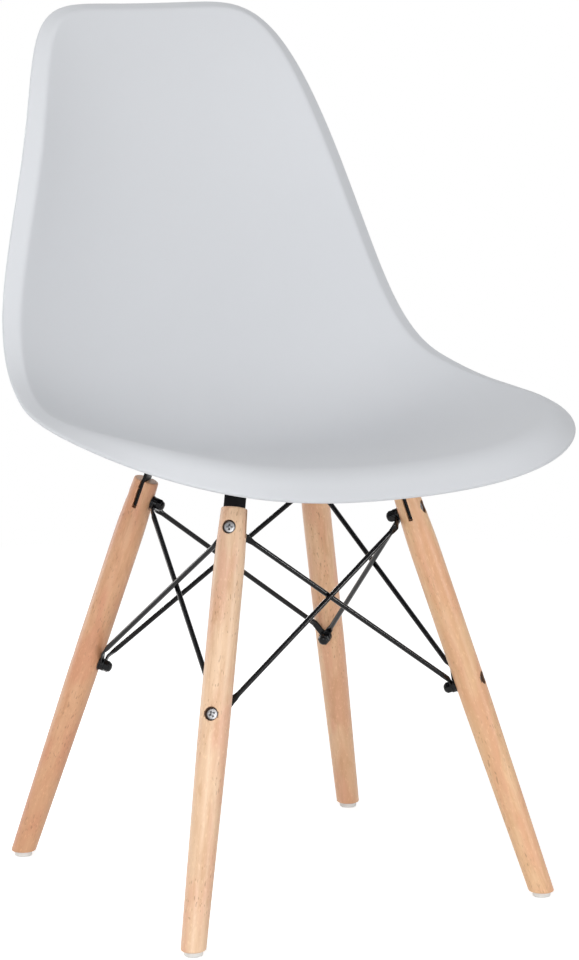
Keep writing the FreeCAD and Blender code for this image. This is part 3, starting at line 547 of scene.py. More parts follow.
class Shell:
    """The seat shell's surface, as arrays over its outline and its depth."""

    def __init__(self, sizes):
        self.s = sizes
        self.total = sizes.centre_line
        stations = np.arange(-20.0, self.total + 21.0)
        angle = self.slope(stations[:-1] + 0.5)
        y = np.concatenate([[0.0], np.cumsum(np.cos(angle))])
        z = np.concatenate([[0.0], np.cumsum(np.sin(angle))])
        on_shell = (stations >= 0.0) & (stations <= self.total)
        self.stations = stations
        self.y = y - np.interp(0.0, stations, y) - sizes.overhang + BASE_Y
        self.z = z - z[on_shell].min() + sizes.lowest

    def slope(self, distance):
        """Centre line's angle: seat slope eased to back angle, plus squares at the nose and at the top."""
        s = self.s
        bend = ease((distance - s.bend_middle + s.bend_half) / (2.0 * s.bend_half))
        nose = np.maximum(1.0 - distance / s.nose_length, 0.0) ** 2
        lean = np.maximum((distance - self.total + s.top_lean_length) / s.top_lean_length, 0.0) ** 2
        return s.seat_slope + (s.back_angle - s.seat_slope) * bend + s.nose_rise * nose + s.top_lean * lean

    def sheet(self, along, across):
        """Sitting side: across times the half width, raised off the centre line by a power of across."""
        distance = self.total / 2.0 * (1.0 + along)
        angle = self.slope(distance)
        fraction = distance / self.total
        rise = natural_curve(self.s.rim_heights, fraction) * np.abs(across) ** self.s.dish_power
        y = np.interp(distance, self.stations, self.y) - np.sin(angle) * rise
        z = np.interp(distance, self.stations, self.z) + np.cos(angle) * rise
        return np.stack([natural_curve(self.s.half_widths, fraction) * across, y, z], -1)

    def normal(self, along, across, step=0.002):
        """Unit normal towards the sitter, from two small differences."""
        sideways = self.sheet(along, across + step) - self.sheet(along, across - step)
        onward = self.sheet(along + step, across) - self.sheet(along - step, across)
        return unit(np.cross(sideways, onward))

    def outline(self, angle):
        """Rounded outline: a ray's sine and cosine divided by the power mean of both."""
        along, across = np.sin(angle), np.cos(angle)
        squareness = np.where(along < 0.0, self.s.front_power, self.s.top_power)
        reach = (np.abs(along) ** squareness + np.abs(across) ** squareness) ** (1.0 / squareness)
        return along / reach, across / reach

    def even_angles(self, count):
        """Ray angles at even distances round the rim."""
        angle = np.linspace(-np.pi, np.pi, 6001)
        gaps = np.linalg.norm(np.diff(self.sheet(*self.outline(angle)), axis=0), axis=1)
        distance = np.concatenate([[0.0], np.cumsum(gaps)])
        return np.interp(np.linspace(0.0, distance[-1], count, endpoint=False), distance, angle)

    def by_station(self, fraction, front, side, back, top):
        """Lip size eased between the front, the side, beside the back and the top."""
        at_side, at_back = 0.30, 0.75
        size = front + (side - front) * soft_step(fraction / at_side)
        size = size + (back - side) * soft_step((fraction - at_side) / (at_back - at_side))
        return size + (top - back) * soft_step((fraction - at_back) / (1.0 - at_back))

    def rim(self, angle, step=0.001):
        """Rim points with the normal, the outward direction and the lip's sizes there."""
        s = self.s
        along, across = self.outline(angle)
        onward = self.sheet(*self.outline(angle + step)) - self.sheet(*self.outline(angle - step))
        normal = self.normal(along, across)
        out = unit(np.cross(onward, normal))
        fraction = (1.0 + along) / 2.0
        radius = self.by_station(fraction, s.front_roll, s.side_roll, s.side_roll, s.side_roll)
        roll = self.by_station(fraction, *s.roll_turns)
        flange = self.by_station(fraction, *s.flanges)
        return self.sheet(along, across), normal, out, radius, roll, flange - s.wall / 2.0

    def lip(self, angle, shares, depth):
        """Lip at shares of its developed width: an arc of the roll's radius, then a flat, at a depth."""
        rim, normal, out, radius, roll, flange = (np.asarray(v)[None] for v in self.rim(angle))
        travel = shares[:, None] * (radius * roll + flange)
        bent = np.minimum(travel / radius, roll)[..., None]
        past = np.maximum(travel - radius * roll, 0.0)[..., None]
        radius = radius[..., None]
        point = rim + out * (radius * np.sin(bent) + past * np.cos(bent))
        point = point - normal * (radius * (1.0 - np.cos(bent)) + past * np.sin(bent))
        return point - (normal * np.cos(bent) + out * np.sin(bent)) * depth

    def edge(self, angle, steps):
        """Half round from the lip's face to its back, with half the wall as its radius."""
        _, normal, out, _, roll, _ = self.rim(angle)
        roll = roll[:, None]
        face = normal * np.cos(roll) + out * np.sin(roll)
        ahead = out * np.cos(roll) - normal * np.sin(roll)
        half = self.s.wall / 2.0
        middle = self.lip(angle, np.array([1.0]), half)[0]
        around = np.linspace(0.0, np.pi, steps + 2)[1:-1, None, None]
        return middle + (face * np.cos(around) + ahead * np.sin(around)) * half

    def rings(self, columns=400):
        """Rings from the middle of the sitting side over the lip to the middle of the underside."""
        angle = self.even_angles(columns)
        along, across = self.outline(angle)
        out = np.concatenate([np.linspace(0.02, 0.9, 56), np.linspace(0.9, 1.0, 9)[1:]])[:, None]
        top = self.sheet(along * out, across * out)
        back = out[::-1]
        inward = (along * back, across * back)
        bottom = self.sheet(*inward) - self.normal(*inward) * self.s.wall
        shares = np.linspace(0.0, 1.0, 15)[1:]
        face = self.lip(angle, shares, 0.0)
        behind = self.lip(angle, shares[::-1], self.s.wall)
        return np.concatenate([top, face, self.edge(angle, 7), behind, bottom])

    def underside(self, x, y):
        """Heights of the underside: five steps towards the point of the sheet that lies over each point."""
        half_width = self.s.half_widths[0]
        along = np.full(np.shape(x), -0.4)
        across = np.asarray(x) / half_width
        for step in range(5):
            point = self.sheet(along, across) - self.normal(along, across) * self.s.wall
            along = along + (y - point[..., 1]) / (self.total / 2.0)
            across = across + (x - point[..., 0]) / half_width
        return point[..., 2]


def inner_flat(base, drop):
    """Distance from a leg's axis to the flat milled behind its washer, on unblended tapers."""
    radius = base.leg_foot
    if drop < base.top_taper:
        radius = base.leg_top + (base.leg_body - base.leg_top) * drop / base.top_taper
    elif drop < base.top_taper + base.body_length:
        radius = base.leg_body
    return radius - base.flat_depth


class Corner:
    """A leg's axis, its turned shape, and the direction of the bolts through it."""

    def __init__(self, base, side_x, side_y):
        top, foot = base.top_spread, base.foot_spread
        self.base = base
        self.top = np.array([side_x * top, side_y * top + BASE_Y, base.top_height])
        self.foot = np.array([side_x * foot, side_y * foot + BASE_Y, base.glide_height])
        self.length = np.linalg.norm(self.foot - self.top)
        self.down = unit(self.foot - self.top)
        self.away = unit([side_x, side_y, 0.0])
        self.out = unit(self.away - self.down * (self.away @ self.down))
        self.sideways = np.cross(self.down, self.out)

    def on_axis(self, drop):
        """Point on the leg's axis at a distance down from its top."""
        return self.top + self.down * drop

    def bolt_axes(self, drop):
        """Origin on the leg's axis, with the local Z axis pointing out of the leg."""
        return self.on_axis(drop), -self.sideways, self.down, self.out

    def radius(self, drop):
        """Straight tapers and body, averaged over a short length so that they run together."""
        base = self.base
        spare = 60.0
        table = np.linspace(-spare, self.length + spare, 2400)
        body_end = base.top_taper + base.body_length
        slope_top = (base.leg_body - base.leg_top) / base.top_taper
        slope_foot = (base.leg_foot - base.leg_body) / (self.length - body_end)
        radius = base.leg_body + slope_top * np.minimum(table - base.top_taper, 0.0)
        radius = radius + slope_foot * np.maximum(table - body_end, 0.0)
        reach = int(base.blend / (table[1] - table[0]))
        kernel = np.hanning(2 * reach + 1)
        padded = np.pad(radius, reach, mode="reflect", reflect_type="odd")
        return np.interp(drop, table, np.convolve(padded, kernel / kernel.sum(), "valid"))

    def skin(self, columns=112, edge=1.5):
        """Turned leg: a radius for each distance down the axis, ended by the level plane of the foot."""
        around = circle(columns)[0]
        ring = self.sideways * np.cos(around)[:, None] + self.out * np.sin(around)[:, None]

        def level(radius):
            """Distance down the axis at which a line at this radius meets the foot's plane."""
            height = self.top[2] + ring[:, 2] * radius - self.base.glide_height
            return height / -self.down[2]

        foot = level(self.radius(self.length))
        shares = np.linspace(0.0, 1.0, 70)[:, None]
        drops = edge + shares * (foot - 2.0 * edge)
        radii = self.radius(drops)
        turns_down = np.linspace(0.0, np.pi / 2.0, 7)[:, None]
        every = np.ones((1, columns))
        top_edge = self.radius(edge) - edge * (1.0 - np.sin(turns_down[:-1]))
        foot_radii = radii[-1] - edge * (1.0 - np.cos(turns_down[1:]))
        foot_drops = np.stack([level(r) for r in foot_radii]) - edge * (1.0 - np.sin(turns_down[1:]))
        top_drops = edge * (1.0 - np.cos(turns_down[:-1])) * every
        cap = 4.0 * every
        radii = np.concatenate([3.0 * every, top_edge * every, radii, foot_radii, cap])
        drops = np.concatenate([0.0 * every, top_drops, drops, foot_drops, level(cap[0])[None]])
        return skin(self.top + self.down * drops[..., None] + ring * radii[..., None])


def corners_of(base):
    """The four legs by name."""
    return {name: Corner(base, *sides) for name, sides in CORNER_SIDES.items()}


def rgba(value):
    return (*value[:3], 1.0)


def feed(tree, node, inputs):
    """Sets a node's inputs to values, or links them to other nodes' outputs."""
    for name, value in inputs.items():
        if isinstance(value, bpy.types.NodeSocket):
            tree.links.new(value, node.inputs[name])
        else:
            node.inputs[name].default_value = value


def new_node(tree, kind, inputs=None, **settings):
    node = tree.nodes.new("ShaderNode" + kind)
    for name, value in settings.items():
        setattr(node, name, value)
    feed(tree, node, inputs or {})
    return node


def sums(tree, kind, first, second):
    """Result of a sum of two values, such as their product."""
    return new_node(tree, "Math", {0: first, 1: second}, operation=kind).outputs[0]


def around_zero(tree, value, amount):
    """Value between 0 and 1 turned into a swing about 0, times an amount."""
    return sums(tree, "MULTIPLY", sums(tree, "SUBTRACT", value, 0.5), amount)


def ramp(tree, value, low, high, top=1.0):
    """Value carried from one range to 0 and the top, and held at its ends."""
    inputs = {"Value": value, "From Min": low, "From Max": high, "To Min": 0.0, "To Max": top}
    return new_node(tree, "MapRange", inputs, clamp=True).outputs["Result"]


def blend_colours(tree, amount, first, second):
    """Mix of two colours, by the colour sockets' places on the node."""
    return new_node(tree, "Mix", {0: amount, 6: first, 7: second}, data_type="RGBA").outputs[2]


def new_group(name, inputs):
    """Node group with a vector and other inputs, and a colour, a roughness and a height as its outputs."""
    group = bpy.data.node_groups.new(name, "ShaderNodeTree")
    group.interface.new_socket("Vector", in_out="INPUT", socket_type="NodeSocketVector")
    for label, default in inputs.items():
        kind = "NodeSocketFloat" if isinstance(default, float) else "NodeSocketColor"
        group.interface.new_socket(label, in_out="INPUT", socket_type=kind).default_value = default
    for label, kind in (("Colour", "Color"), ("Roughness", "Float"), ("Height", "Float")):
        group.interface.new_socket(label, in_out="OUTPUT", socket_type="NodeSocket" + kind)
    return group, group.nodes.new("NodeGroupInput").outputs, group.nodes.new("NodeGroupOutput")


def mottle_group():
    """Slight cloudy change of a colour and a roughness, with a fine height for bump."""
    defaults = {"Roughness": 0.5, "Cloud Scale": 6.0, "Cloud Amount": 0.03, "Grain Scale": 900.0}
    tree, given, end = new_group("Mottled Finish", {"Colour": (0.5, 0.5, 0.5, 1.0), **defaults})
    noises = ({"Scale": given["Cloud Scale"]}, {"Scale": given["Grain Scale"], "Detail": 3.0})
    cloud, grain = (
        new_node(tree, "TexNoise", {"Vector": given["Vector"], **inputs}).outputs["Fac"] for inputs in noises
    )
    level = sums(tree, "ADD", 1.0, around_zero(tree, cloud, given["Cloud Amount"]))
    shade = new_node(tree, "VectorMath", {0: given["Colour"], "Scale": level}, operation="SCALE")
    roughness = sums(tree, "ADD", given["Roughness"], around_zero(tree, grain, 0.16))
    feed(tree, end, {"Colour": shade.outputs[0], "Roughness": roughness, "Height": grain})
    return tree


def wood_group():
    """Beech along the local Z axis: lines, soft streaks and clouds, pale glints and short ray flecks."""
    defaults = {
        "Light": (0.8, 0.5, 0.3, 1.0),
        "Dark": (0.5, 0.3, 0.2, 1.0),
        "Pink": (0.7, 0.4, 0.3, 1.0),
        "Pale": (0.9, 0.7, 0.5, 1.0),
        "Roughness": 0.4,
        "Flecks": 0.5,
    }
    tree, given, end = new_group("Beech Grain", defaults)

    def layer(across, along, detail, roughness=0.5, distortion=0.0):
        """Noise with its own fineness across and along the grain."""
        where = new_node(tree, "Mapping", {"Vector": given["Vector"], "Scale": (across, across, along)})
        inputs = {"Scale": 1.0, "Detail": detail, "Roughness": roughness, "Distortion": distortion}
        return new_node(tree, "TexNoise", {"Vector": where.outputs["Vector"], **inputs}).outputs["Fac"]

    streaks = layer(70.0, 2.6, 2.0, 0.55)
    clouds = layer(105.0, 24.0, 3.0, 0.6, 0.6)
    blush = layer(55.0, 13.0, 2.0, 0.5, 0.4)
    lines = layer(480.0, 24.0, 3.0, 0.6, 0.5)
    pores = layer(1500.0, 60.0, 1.0)
    specks = layer(760.0, 230.0, 0.0)
    glints = layer(640.0, 210.0, 1.0)
    patches = layer(40.0, 18.0, 1.0)
    shade = sums(tree, "MAXIMUM", ramp(tree, streaks, 0.46, 0.72, 0.60), ramp(tree, clouds, 0.47, 0.70, 0.62))
    dark = sums(tree, "MAXIMUM", shade, ramp(tree, lines, 0.50, 0.76, 0.60))
    surface = blend_colours(tree, ramp(tree, blush, 0.44, 0.60), given["Light"], given["Pink"])
    surface = blend_colours(tree, dark, surface, given["Dark"])
    pale = sums(tree, "MULTIPLY", ramp(tree, glints, 0.58, 0.72), 0.30)
    surface = blend_colours(tree, pale, surface, given["Pale"])
    speck_mask = sums(tree, "MULTIPLY", ramp(tree, specks, 0.68, 0.76), ramp(tree, patches, 0.44, 0.58))
    flecks = sums(tree, "MULTIPLY", speck_mask, given["Flecks"])
    surface = blend_colours(tree, flecks, surface, (0.30, 0.13, 0.06, 1.0))
    roughness = sums(tree, "ADD", given["Roughness"], around_zero(tree, lines, 0.20))
    height = sums(tree, "SUBTRACT", sums(tree, "MULTIPLY", pores, 0.6), sums(tree, "MULTIPLY", flecks, 0.5))
    feed(tree, end, {"Colour": surface, "Roughness": roughness, "Height": height})
    return tree


def patterned(name, where, output, group, inputs, bump, bump_size, finish):
    """Material whose colour, roughness and bump come from a node group, fed by a vector from one node."""
    material = bpy.data.materials.new(name)
    material.use_nodes = True
    tree = material.node_tree
    vector = new_node(tree, where[0], **where[1]).outputs[output]
    pattern = new_node(tree, "Group", node_tree=group)
    feed(tree, pattern, {"Vector": vector, **inputs})
    made = pattern.outputs
    bumps = new_node(tree, "Bump", {"Strength": bump, "Distance": bump_size, "Height": made["Height"]})
    surface = {"Base Color": made["Colour"], "Roughness": made["Roughness"], "Normal": bumps.outputs[0]}
    feed(tree, tree.nodes["Principled BSDF"], {**surface, **finish})
    return material


def finish_material(name, tone, roughness, bump, bump_size, cloud, scales, metallic=0.0, specular=0.5):
    """Mottled finish on Object coordinates, with the scales of its clouds and its fine grain."""
    group = bpy.data.node_groups.get("Mottled Finish") or mottle_group()
    inputs = {"Colour": rgba(tone), "Roughness": roughness, "Cloud Amount": cloud}
    inputs.update({"Cloud Scale": scales[0], "Grain Scale": scales[1]})
    finish = {"Metallic": metallic, "Specular IOR Level": specular}
    return patterned(name, ("TexCoord", {}), "Object", group, inputs, bump, bump_size, finish)


def wood_material(base, name, tone_and_light):
    """Lacquered beech that follows the leg through its own grain attribute, with its colours times a per-leg
    factor that holds partly the leg's own tone and partly painted light.
    """
    plain = {"Light": base.wood, "Dark": base.wood_dark, "Pink": base.wood_pink}
    tones = {key: np.minimum(np.array(tone) * tone_and_light, 1.0) for key, tone in plain.items()}
    tones["Pale"] = np.minimum(tones["Light"] * 1.25, 1.0)
    inputs = {key: rgba(tone) for key, tone in tones.items()}
    inputs.update({"Roughness": base.wood_roughness, "Flecks": base.flecks})
    finish = {"Coat Weight": 0.12, "Coat Roughness": 0.36}
    group = bpy.data.node_groups.get("Beech Grain") or wood_group()
    where = ("Attribute", {"attribute_name": "grain"})
    return patterned(name, where, "Vector", group, inputs, 0.25, 0.0002, finish)


def black_coat(metal, name, roughness=None, specular=0.24):
    roughness = roughness or metal.coat_roughness
    return finish_material(name, metal.coat, roughness, 0.05, 0.0001, 0.25, (40.0, 1400.0), 0.0, specular)


def zinc_plate(metal, name):
    return finish_material(name, metal.zinc, 0.42, 0.10, 0.00005, 0.25, (300.0, 1800.0), 1.0)


class CHAIR_OT_shell(bpy.types.Operator):
    """Builds the moulded seat shell with its rolled lip"""

    bl_idname = "chair.shell"
    bl_label = "Seat Shell"

    def execute(self, context):
        (sizes,) = sizes_of(context, "shell")
        shell = Shell(sizes)
        look = (sizes.plastic, sizes.roughness, sizes.grain, 0.0002, 0.02, (5.0, 1600.0), 0.0, 0.28)
        plastic = finish_material("Moulded Plastic", *look)
        add_piece("seat_moulding", [skin(shell.rings())], plastic, ["seat_shell"], 60.0)
        bosses = []
        for side_x, side_y in CORNER_SIDES.values():
            centre = np.array([side_x * sizes.boss_spread, side_y * sizes.boss_spread + BASE_Y])
            bosses.append(self.boss(shell, sizes, centre))
            for way in ((1.0, 0.0), (0.0, 1.0), (-1.0, 0.0), (0.0, -1.0)):
                bosses.append(self.gusset(shell, sizes, centre, np.array(way)))
        add_piece("seat_bosses", bosses, plastic, ["seat_shell"], 40.0)
        return {"FINISHED"}

    def boss(self, shell, sizes, centre):
        """Round post: rings over its foot, then rings below the shell that flare out into it."""
        radius = sizes.boss_radius
        around, ring = circle(48)
        foot = np.array([[4.0, 0.0], [radius - 0.5, 0.0], [radius - 0.15, 0.15], [radius, 0.5]])
        flare = np.array([[0.0, 4.0], [0.3, 2.4], [1.0, 1.1], [2.2, 0.2], [3.2, -0.6]])
        top = shell.underside(*(centre + radius * ring).T)
        radii = np.concatenate([foot[:, 0], radius + flare[:, 0]])
        rings = turned_rings(radii, np.zeros(len(radii)), around)
        rings[..., :2] += centre
        rings[:4, :, 2] = sizes.boss_foot + foot[:, 1:]
        rings[4:, :, 2] = top - flare[:, 1:]
        return skin(rings)

    def gusset(self, shell, sizes, centre, way):
        """Thin triangular rib: rounded upright sections carried outward from the boss, getting shorter."""
        radius = sizes.boss_radius
        reach = np.linspace(radius - 3.0, radius + sizes.gusset_reach, 12)
        side = np.array([-way[1], way[0]])
        start = sizes.boss_foot + 3.0
        middle = centre + reach[:, None] * way
        top = shell.underside(middle[:, 0], middle[:, 1]) + 1.6
        low = start + (top - 2.2 - start) * np.maximum(reach - radius, 0.0) / sizes.gusset_reach
        outline = rounded_rectangle(sizes.gusset_thickness, 2.0, 0.5, 3)
        rings = np.empty((len(reach), len(outline), 3))
        rings[..., :2] = middle[:, None] + side * outline[:, :1]
        rings[..., 2] = (top + low)[:, None] / 2.0 + (top - low)[:, None] / 2.0 * outline[:, 1]
        return skin(rings)


class CHAIR_OT_legs(bpy.types.Operator):
    """Builds the four turned legs with their slots, flats and recesses"""

    bl_idname = "chair.legs"
    bl_label = "Legs"

    def execute(self, context):
        base, metal = sizes_of(context, "base", "metal")
        # Painted shade: a dark brown on the walls and floors of the bolt recesses, standing in for the shadow
        # inside them.
        recess_shade_colour = (0.16, 0.085, 0.05)
        painted_recess_shade = finish_material("Scorched Recess", recess_shade_colour, 0.7, 0.3, 0.0001, 0.3, (200.0, 1500.0))
        for i, (name, corner) in enumerate(corners_of(base).items()):
            mesh = cut(build_mesh("leg", [corner.skin()]), self.cutters(base, metal, corner))
            self.lay_grain(mesh, corner, i)
            wood = wood_material(base, "Beech " + name.replace("_", " ").title(), LEG_TONES_AND_PAINTED_LIGHT[name])
            add_piece("turned_leg_" + name, mesh, wood, ["leg_" + name], 32.0)
            # Faces inside the recesses take the painted shade.
            mesh.materials.append(painted_recess_shade)
            mesh.polygons.foreach_set("material_index", self.in_recess(base, mesh, corner).astype(np.int32))
        return {"FINISHED"}

    def cutters(self, base, metal, corner):
        """A slot for the bracket's blade, and for each bolt a flared recess, a flat and a hole."""
        half = base.slot_width / 2.0
        slot = box_skin((-40.0, -half, -base.slot_depth), (40.0, half, 20.0))
        tools = [placed(slot, corner.top, corner.sideways, corner.out, -corner.down)]
        floor, hole = base.recess_floor, base.recess_radius
        half = metal.washer_radius + 0.4
        bore = metal.bolt_radius + BOLT_SPARE
        for drop in (base.upper_bolt, base.lower_bolt):
            flat = inner_flat(base, drop)
            surface = flat + base.flat_depth
            corners = [(1.0, floor), (hole, floor), (hole, surface - 1.0)]
            corners += [(hole + 1.2, surface + 0.6), (hole + 3.0, surface + 20.0), (1.0, surface + 20.0)]
            mouth = rounded_profile(corners, (0, 0.4, 1.2, 0.3, 0.1, 0))
            block = box_skin((-30.0, -half, -flat - 30.0), (30.0, half, -flat))
            for tool in (lathe(mouth, 64), block, lathe([(bore, -40.0), (bore, 40.0)], 32)):
                tools.append(placed(tool, *corner.bolt_axes(drop)))
        return tools

    def lay_grain(self, mesh, corner, i):
        """Grain attribute: places in the leg's own axes, turned and shifted so that all legs differ."""
        local = mesh_array(mesh.vertices, "co") - corner.top / 1000.0
        local = local @ np.array([corner.sideways, corner.out, -corner.down]).T
        spin = np.array(Matrix.Rotation(1.3 * i, 3, "Z"))
        grain = local @ spin + np.array([0.37, 0.21, 0.55]) * (i + 1)
        mesh.attributes.new("grain", "FLOAT_VECTOR", "POINT").data.foreach_set("vector", grain.ravel())

    def in_recess(self, base, mesh, corner):
        """Whether each face's middle lies on a recess's wall or floor, by its distance from the bolt."""
        middles = mesh_array(mesh.polygons, "center") * 1000.0
        inside = np.zeros(len(middles), bool)
        for drop in (base.upper_bolt, base.lower_bolt):
            away = middles - corner.on_axis(drop)
            depth = away @ corner.out
            apart = np.linalg.norm(away - depth[:, None] * corner.out, axis=1)
            inside |= (apart < base.recess_radius + 0.1) & (depth > base.recess_floor - 0.1)
        return inside


class CHAIR_OT_bracket(bpy.types.Operator):
    """Builds the two crossed bracket bars under the seat"""

    bl_idname = "chair.bracket"
    bl_label = "Bracket"

    def execute(self, context):
        base, metal = sizes_of(context, "base", "metal")
        corners = corners_of(base)
        coat = black_coat(metal, "Bracket Powder Coat", 0.40, 0.15)
        rise = base.bar_rise + base.bar_thickness / 2.0
        centre = np.array([0.0, BASE_Y, base.top_height + rise])
        section = rounded_rectangle(base.bar_width, base.bar_thickness, 0.6)
        bars = {"flat": ("front_left", "rear_right"), "cranked": ("front_right", "rear_left")}
        for name, pair in bars.items():
            near, far = (corners[leg] for leg in pair)
            ends = []
            for corner in (near, far):
                over_leg = corner.top + corner.down * rise / corner.down[2]
                ends.append([corner.on_axis(base.blade_depth), over_leg])
            crank = []
            if name == "cranked":
                for corner, order in ((near, 1), (far, -1)):
                    outer = centre + corner.away * (base.crank_half + base.crank_ramp)
                    inner = centre + corner.away * base.crank_half + UP * base.bar_thickness
                    crank += [outer, inner][::order]
            radii = [base.bar_bend] + [base.crank_bend] * len(crank) + [base.bar_bend]
            path = resampled(rounded_line(ends[0] + crank + ends[1][::-1], radii), 8.0)[0]
            bar = carried(path, near.sideways, section[None, :, 0], section[None, :, 1])
            add_piece("bar_" + name, [bar], coat, ["bracket_bar_" + name], 40.0)
        top = centre + UP * base.bar_thickness / 2.0
        beads = [self.weld(top, base.bar_width / 2.0, side) for side in (-1.0, 1.0)]
        add_piece("bar_weld", beads, coat, [], 60.0)
        return {"FINISHED"}

    def weld(self, centre, half, side):
        """Rippled bead of weld: a thin tube whose radius swells and sinks like a row of drops."""
        across = unit([1.0, 1.0, 0.0]) * side
        t = np.linspace(-half * 0.8, half * 0.8, 90)
        path = centre + across * (half + 0.2) + unit([1.0, -1.0, 0.0]) * t[:, None] + UP * 0.2
        ends = np.sqrt(np.clip(1.0 - (t / (half * 0.82)) ** 8, 0.02, 1.0))
        radius = (1.25 + 0.16 * np.abs(np.sin(t * 1.6))) * ends
        return swept(path, across, radius, radius * 0.8, np.full(len(t), 2.0), 20)


class CHAIR_OT_rods(bpy.types.Operator):
    """Builds the eight brace rods with their pressed eyes"""

    bl_idname = "chair.rods"
    bl_label = "Brace Rods"

    def execute(self, context):
        base, metal = sizes_of(context, "base", "metal")
        corners = corners_of(base)
        coat = black_coat(metal, "Rod Powder Coat")
        for side, (first, second) in RODS.items():
            for kind, low, high in (("outer", first, second), ("inner", second, first)):
                skins = self.rod(base, metal, corners[low], corners[high], kind == "inner")
                add_piece(f"rod_{side}_{kind}", skins, coat, [f"brace_{side}_{kind}"], 40.0)
        return {"FINISHED"}

    def bend_corners(self, base, metal, low, high, inner):
        """Eyes, directions of their strips, and the corners where these bend into the run between two legs.

        A strip is the part of the run that lies in its leg's flat. An inner rod bends nearer to its eyes,
        by as much as it takes to pass the outer rod where they cross.
        """
        normal = unit(np.cross(low.down, high.down))
        normal = normal * np.sign(normal @ low.out)
        thick = metal.eye_thickness
        outs = (low.out, high.out)
        eyes = []
        for corner, drop in ((low, base.lower_bolt), (high, base.upper_bolt)):
            offset = inner_flat(base, drop) + metal.washer_thickness + (1.5 if inner else 0.5) * thick
            eyes.append(corner.on_axis(drop) - corner.out * offset)
        outer = metal.outer_bend
        nearer = metal.inner_bend if inner else outer
        needed = 2.0 * (2.0 * metal.rod_radius + metal.rod_gap) - sum(thick * (normal @ out) for out in outs)
        bends = eyes
        pulled = 0.0
        for step in range(4):
            run = unit(bends[1] - bends[0])
            alongs = [unit(run - out * (run @ out)) * way for out, way in zip(outs, (1.0, -1.0))]
            if inner:
                pulled = (needed - (outer - nearer) * (normal @ alongs[0])) / (normal @ alongs[1])
            bends = [eye + along * reach for eye, along, reach in zip(eyes, alongs, (nearer, outer - pulled))]
        return eyes, alongs, bends

    def rod(self, base, metal, low, high, inner):
        """Section from eye to eye: a flat strip to just past each bend, then a rounded bar, then round.

        Half width and half thickness run between those of the strip and the rod's radius by the distance past
        the nearer bend, and the section's corners soften with them.
        """
        eyes, alongs, bends = self.bend_corners(base, metal, low, high, inner)
        radius = metal.rod_radius
        half = metal.eye_thickness / 2.0
        ring = washer(metal.eye_radius, metal.bolt_radius + BOLT_SPARE, -half, half, 0.35)
        wides, skins = [], []
        for corner, eye, along in zip((low, high), eyes, alongs):
            wide = np.cross(corner.out, along)
            skins.append(placed(ring, eye, along, wide, np.cross(along, wide)))
            wides.append(wide)
        wides[1] = wides[1] * np.sign(wides[0] @ wides[1])
        inside_eye = 3.6
        tips = [eye + along * inside_eye for eye, along in zip(eyes, alongs)]
        corners = [tips[0], bends[0], bends[1], tips[1]]
        path, distance = resampled(rounded_line(corners, [metal.strip_bend] * 2, 12), 2.0)
        run = unit(bends[1] - bends[0])
        past = np.minimum((path - bends[0]) @ run, (bends[1] - path) @ run)
        narrow = soft_step((past - metal.narrow_start) / metal.narrow_length)
        press = soft_step((past - metal.press_start) / metal.press_length)
        half_wide = metal.strip_half + (radius - metal.strip_half) * narrow
        half_thick = half + (radius - half) * press
        share_along = (distance / distance[-1])[:, None]
        wide = wides[0] * (1.0 - share_along) + wides[1] * share_along
        skins.append(swept(path, wide, half_wide, half_thick, 5.0 - 3.0 * press))
        return skins


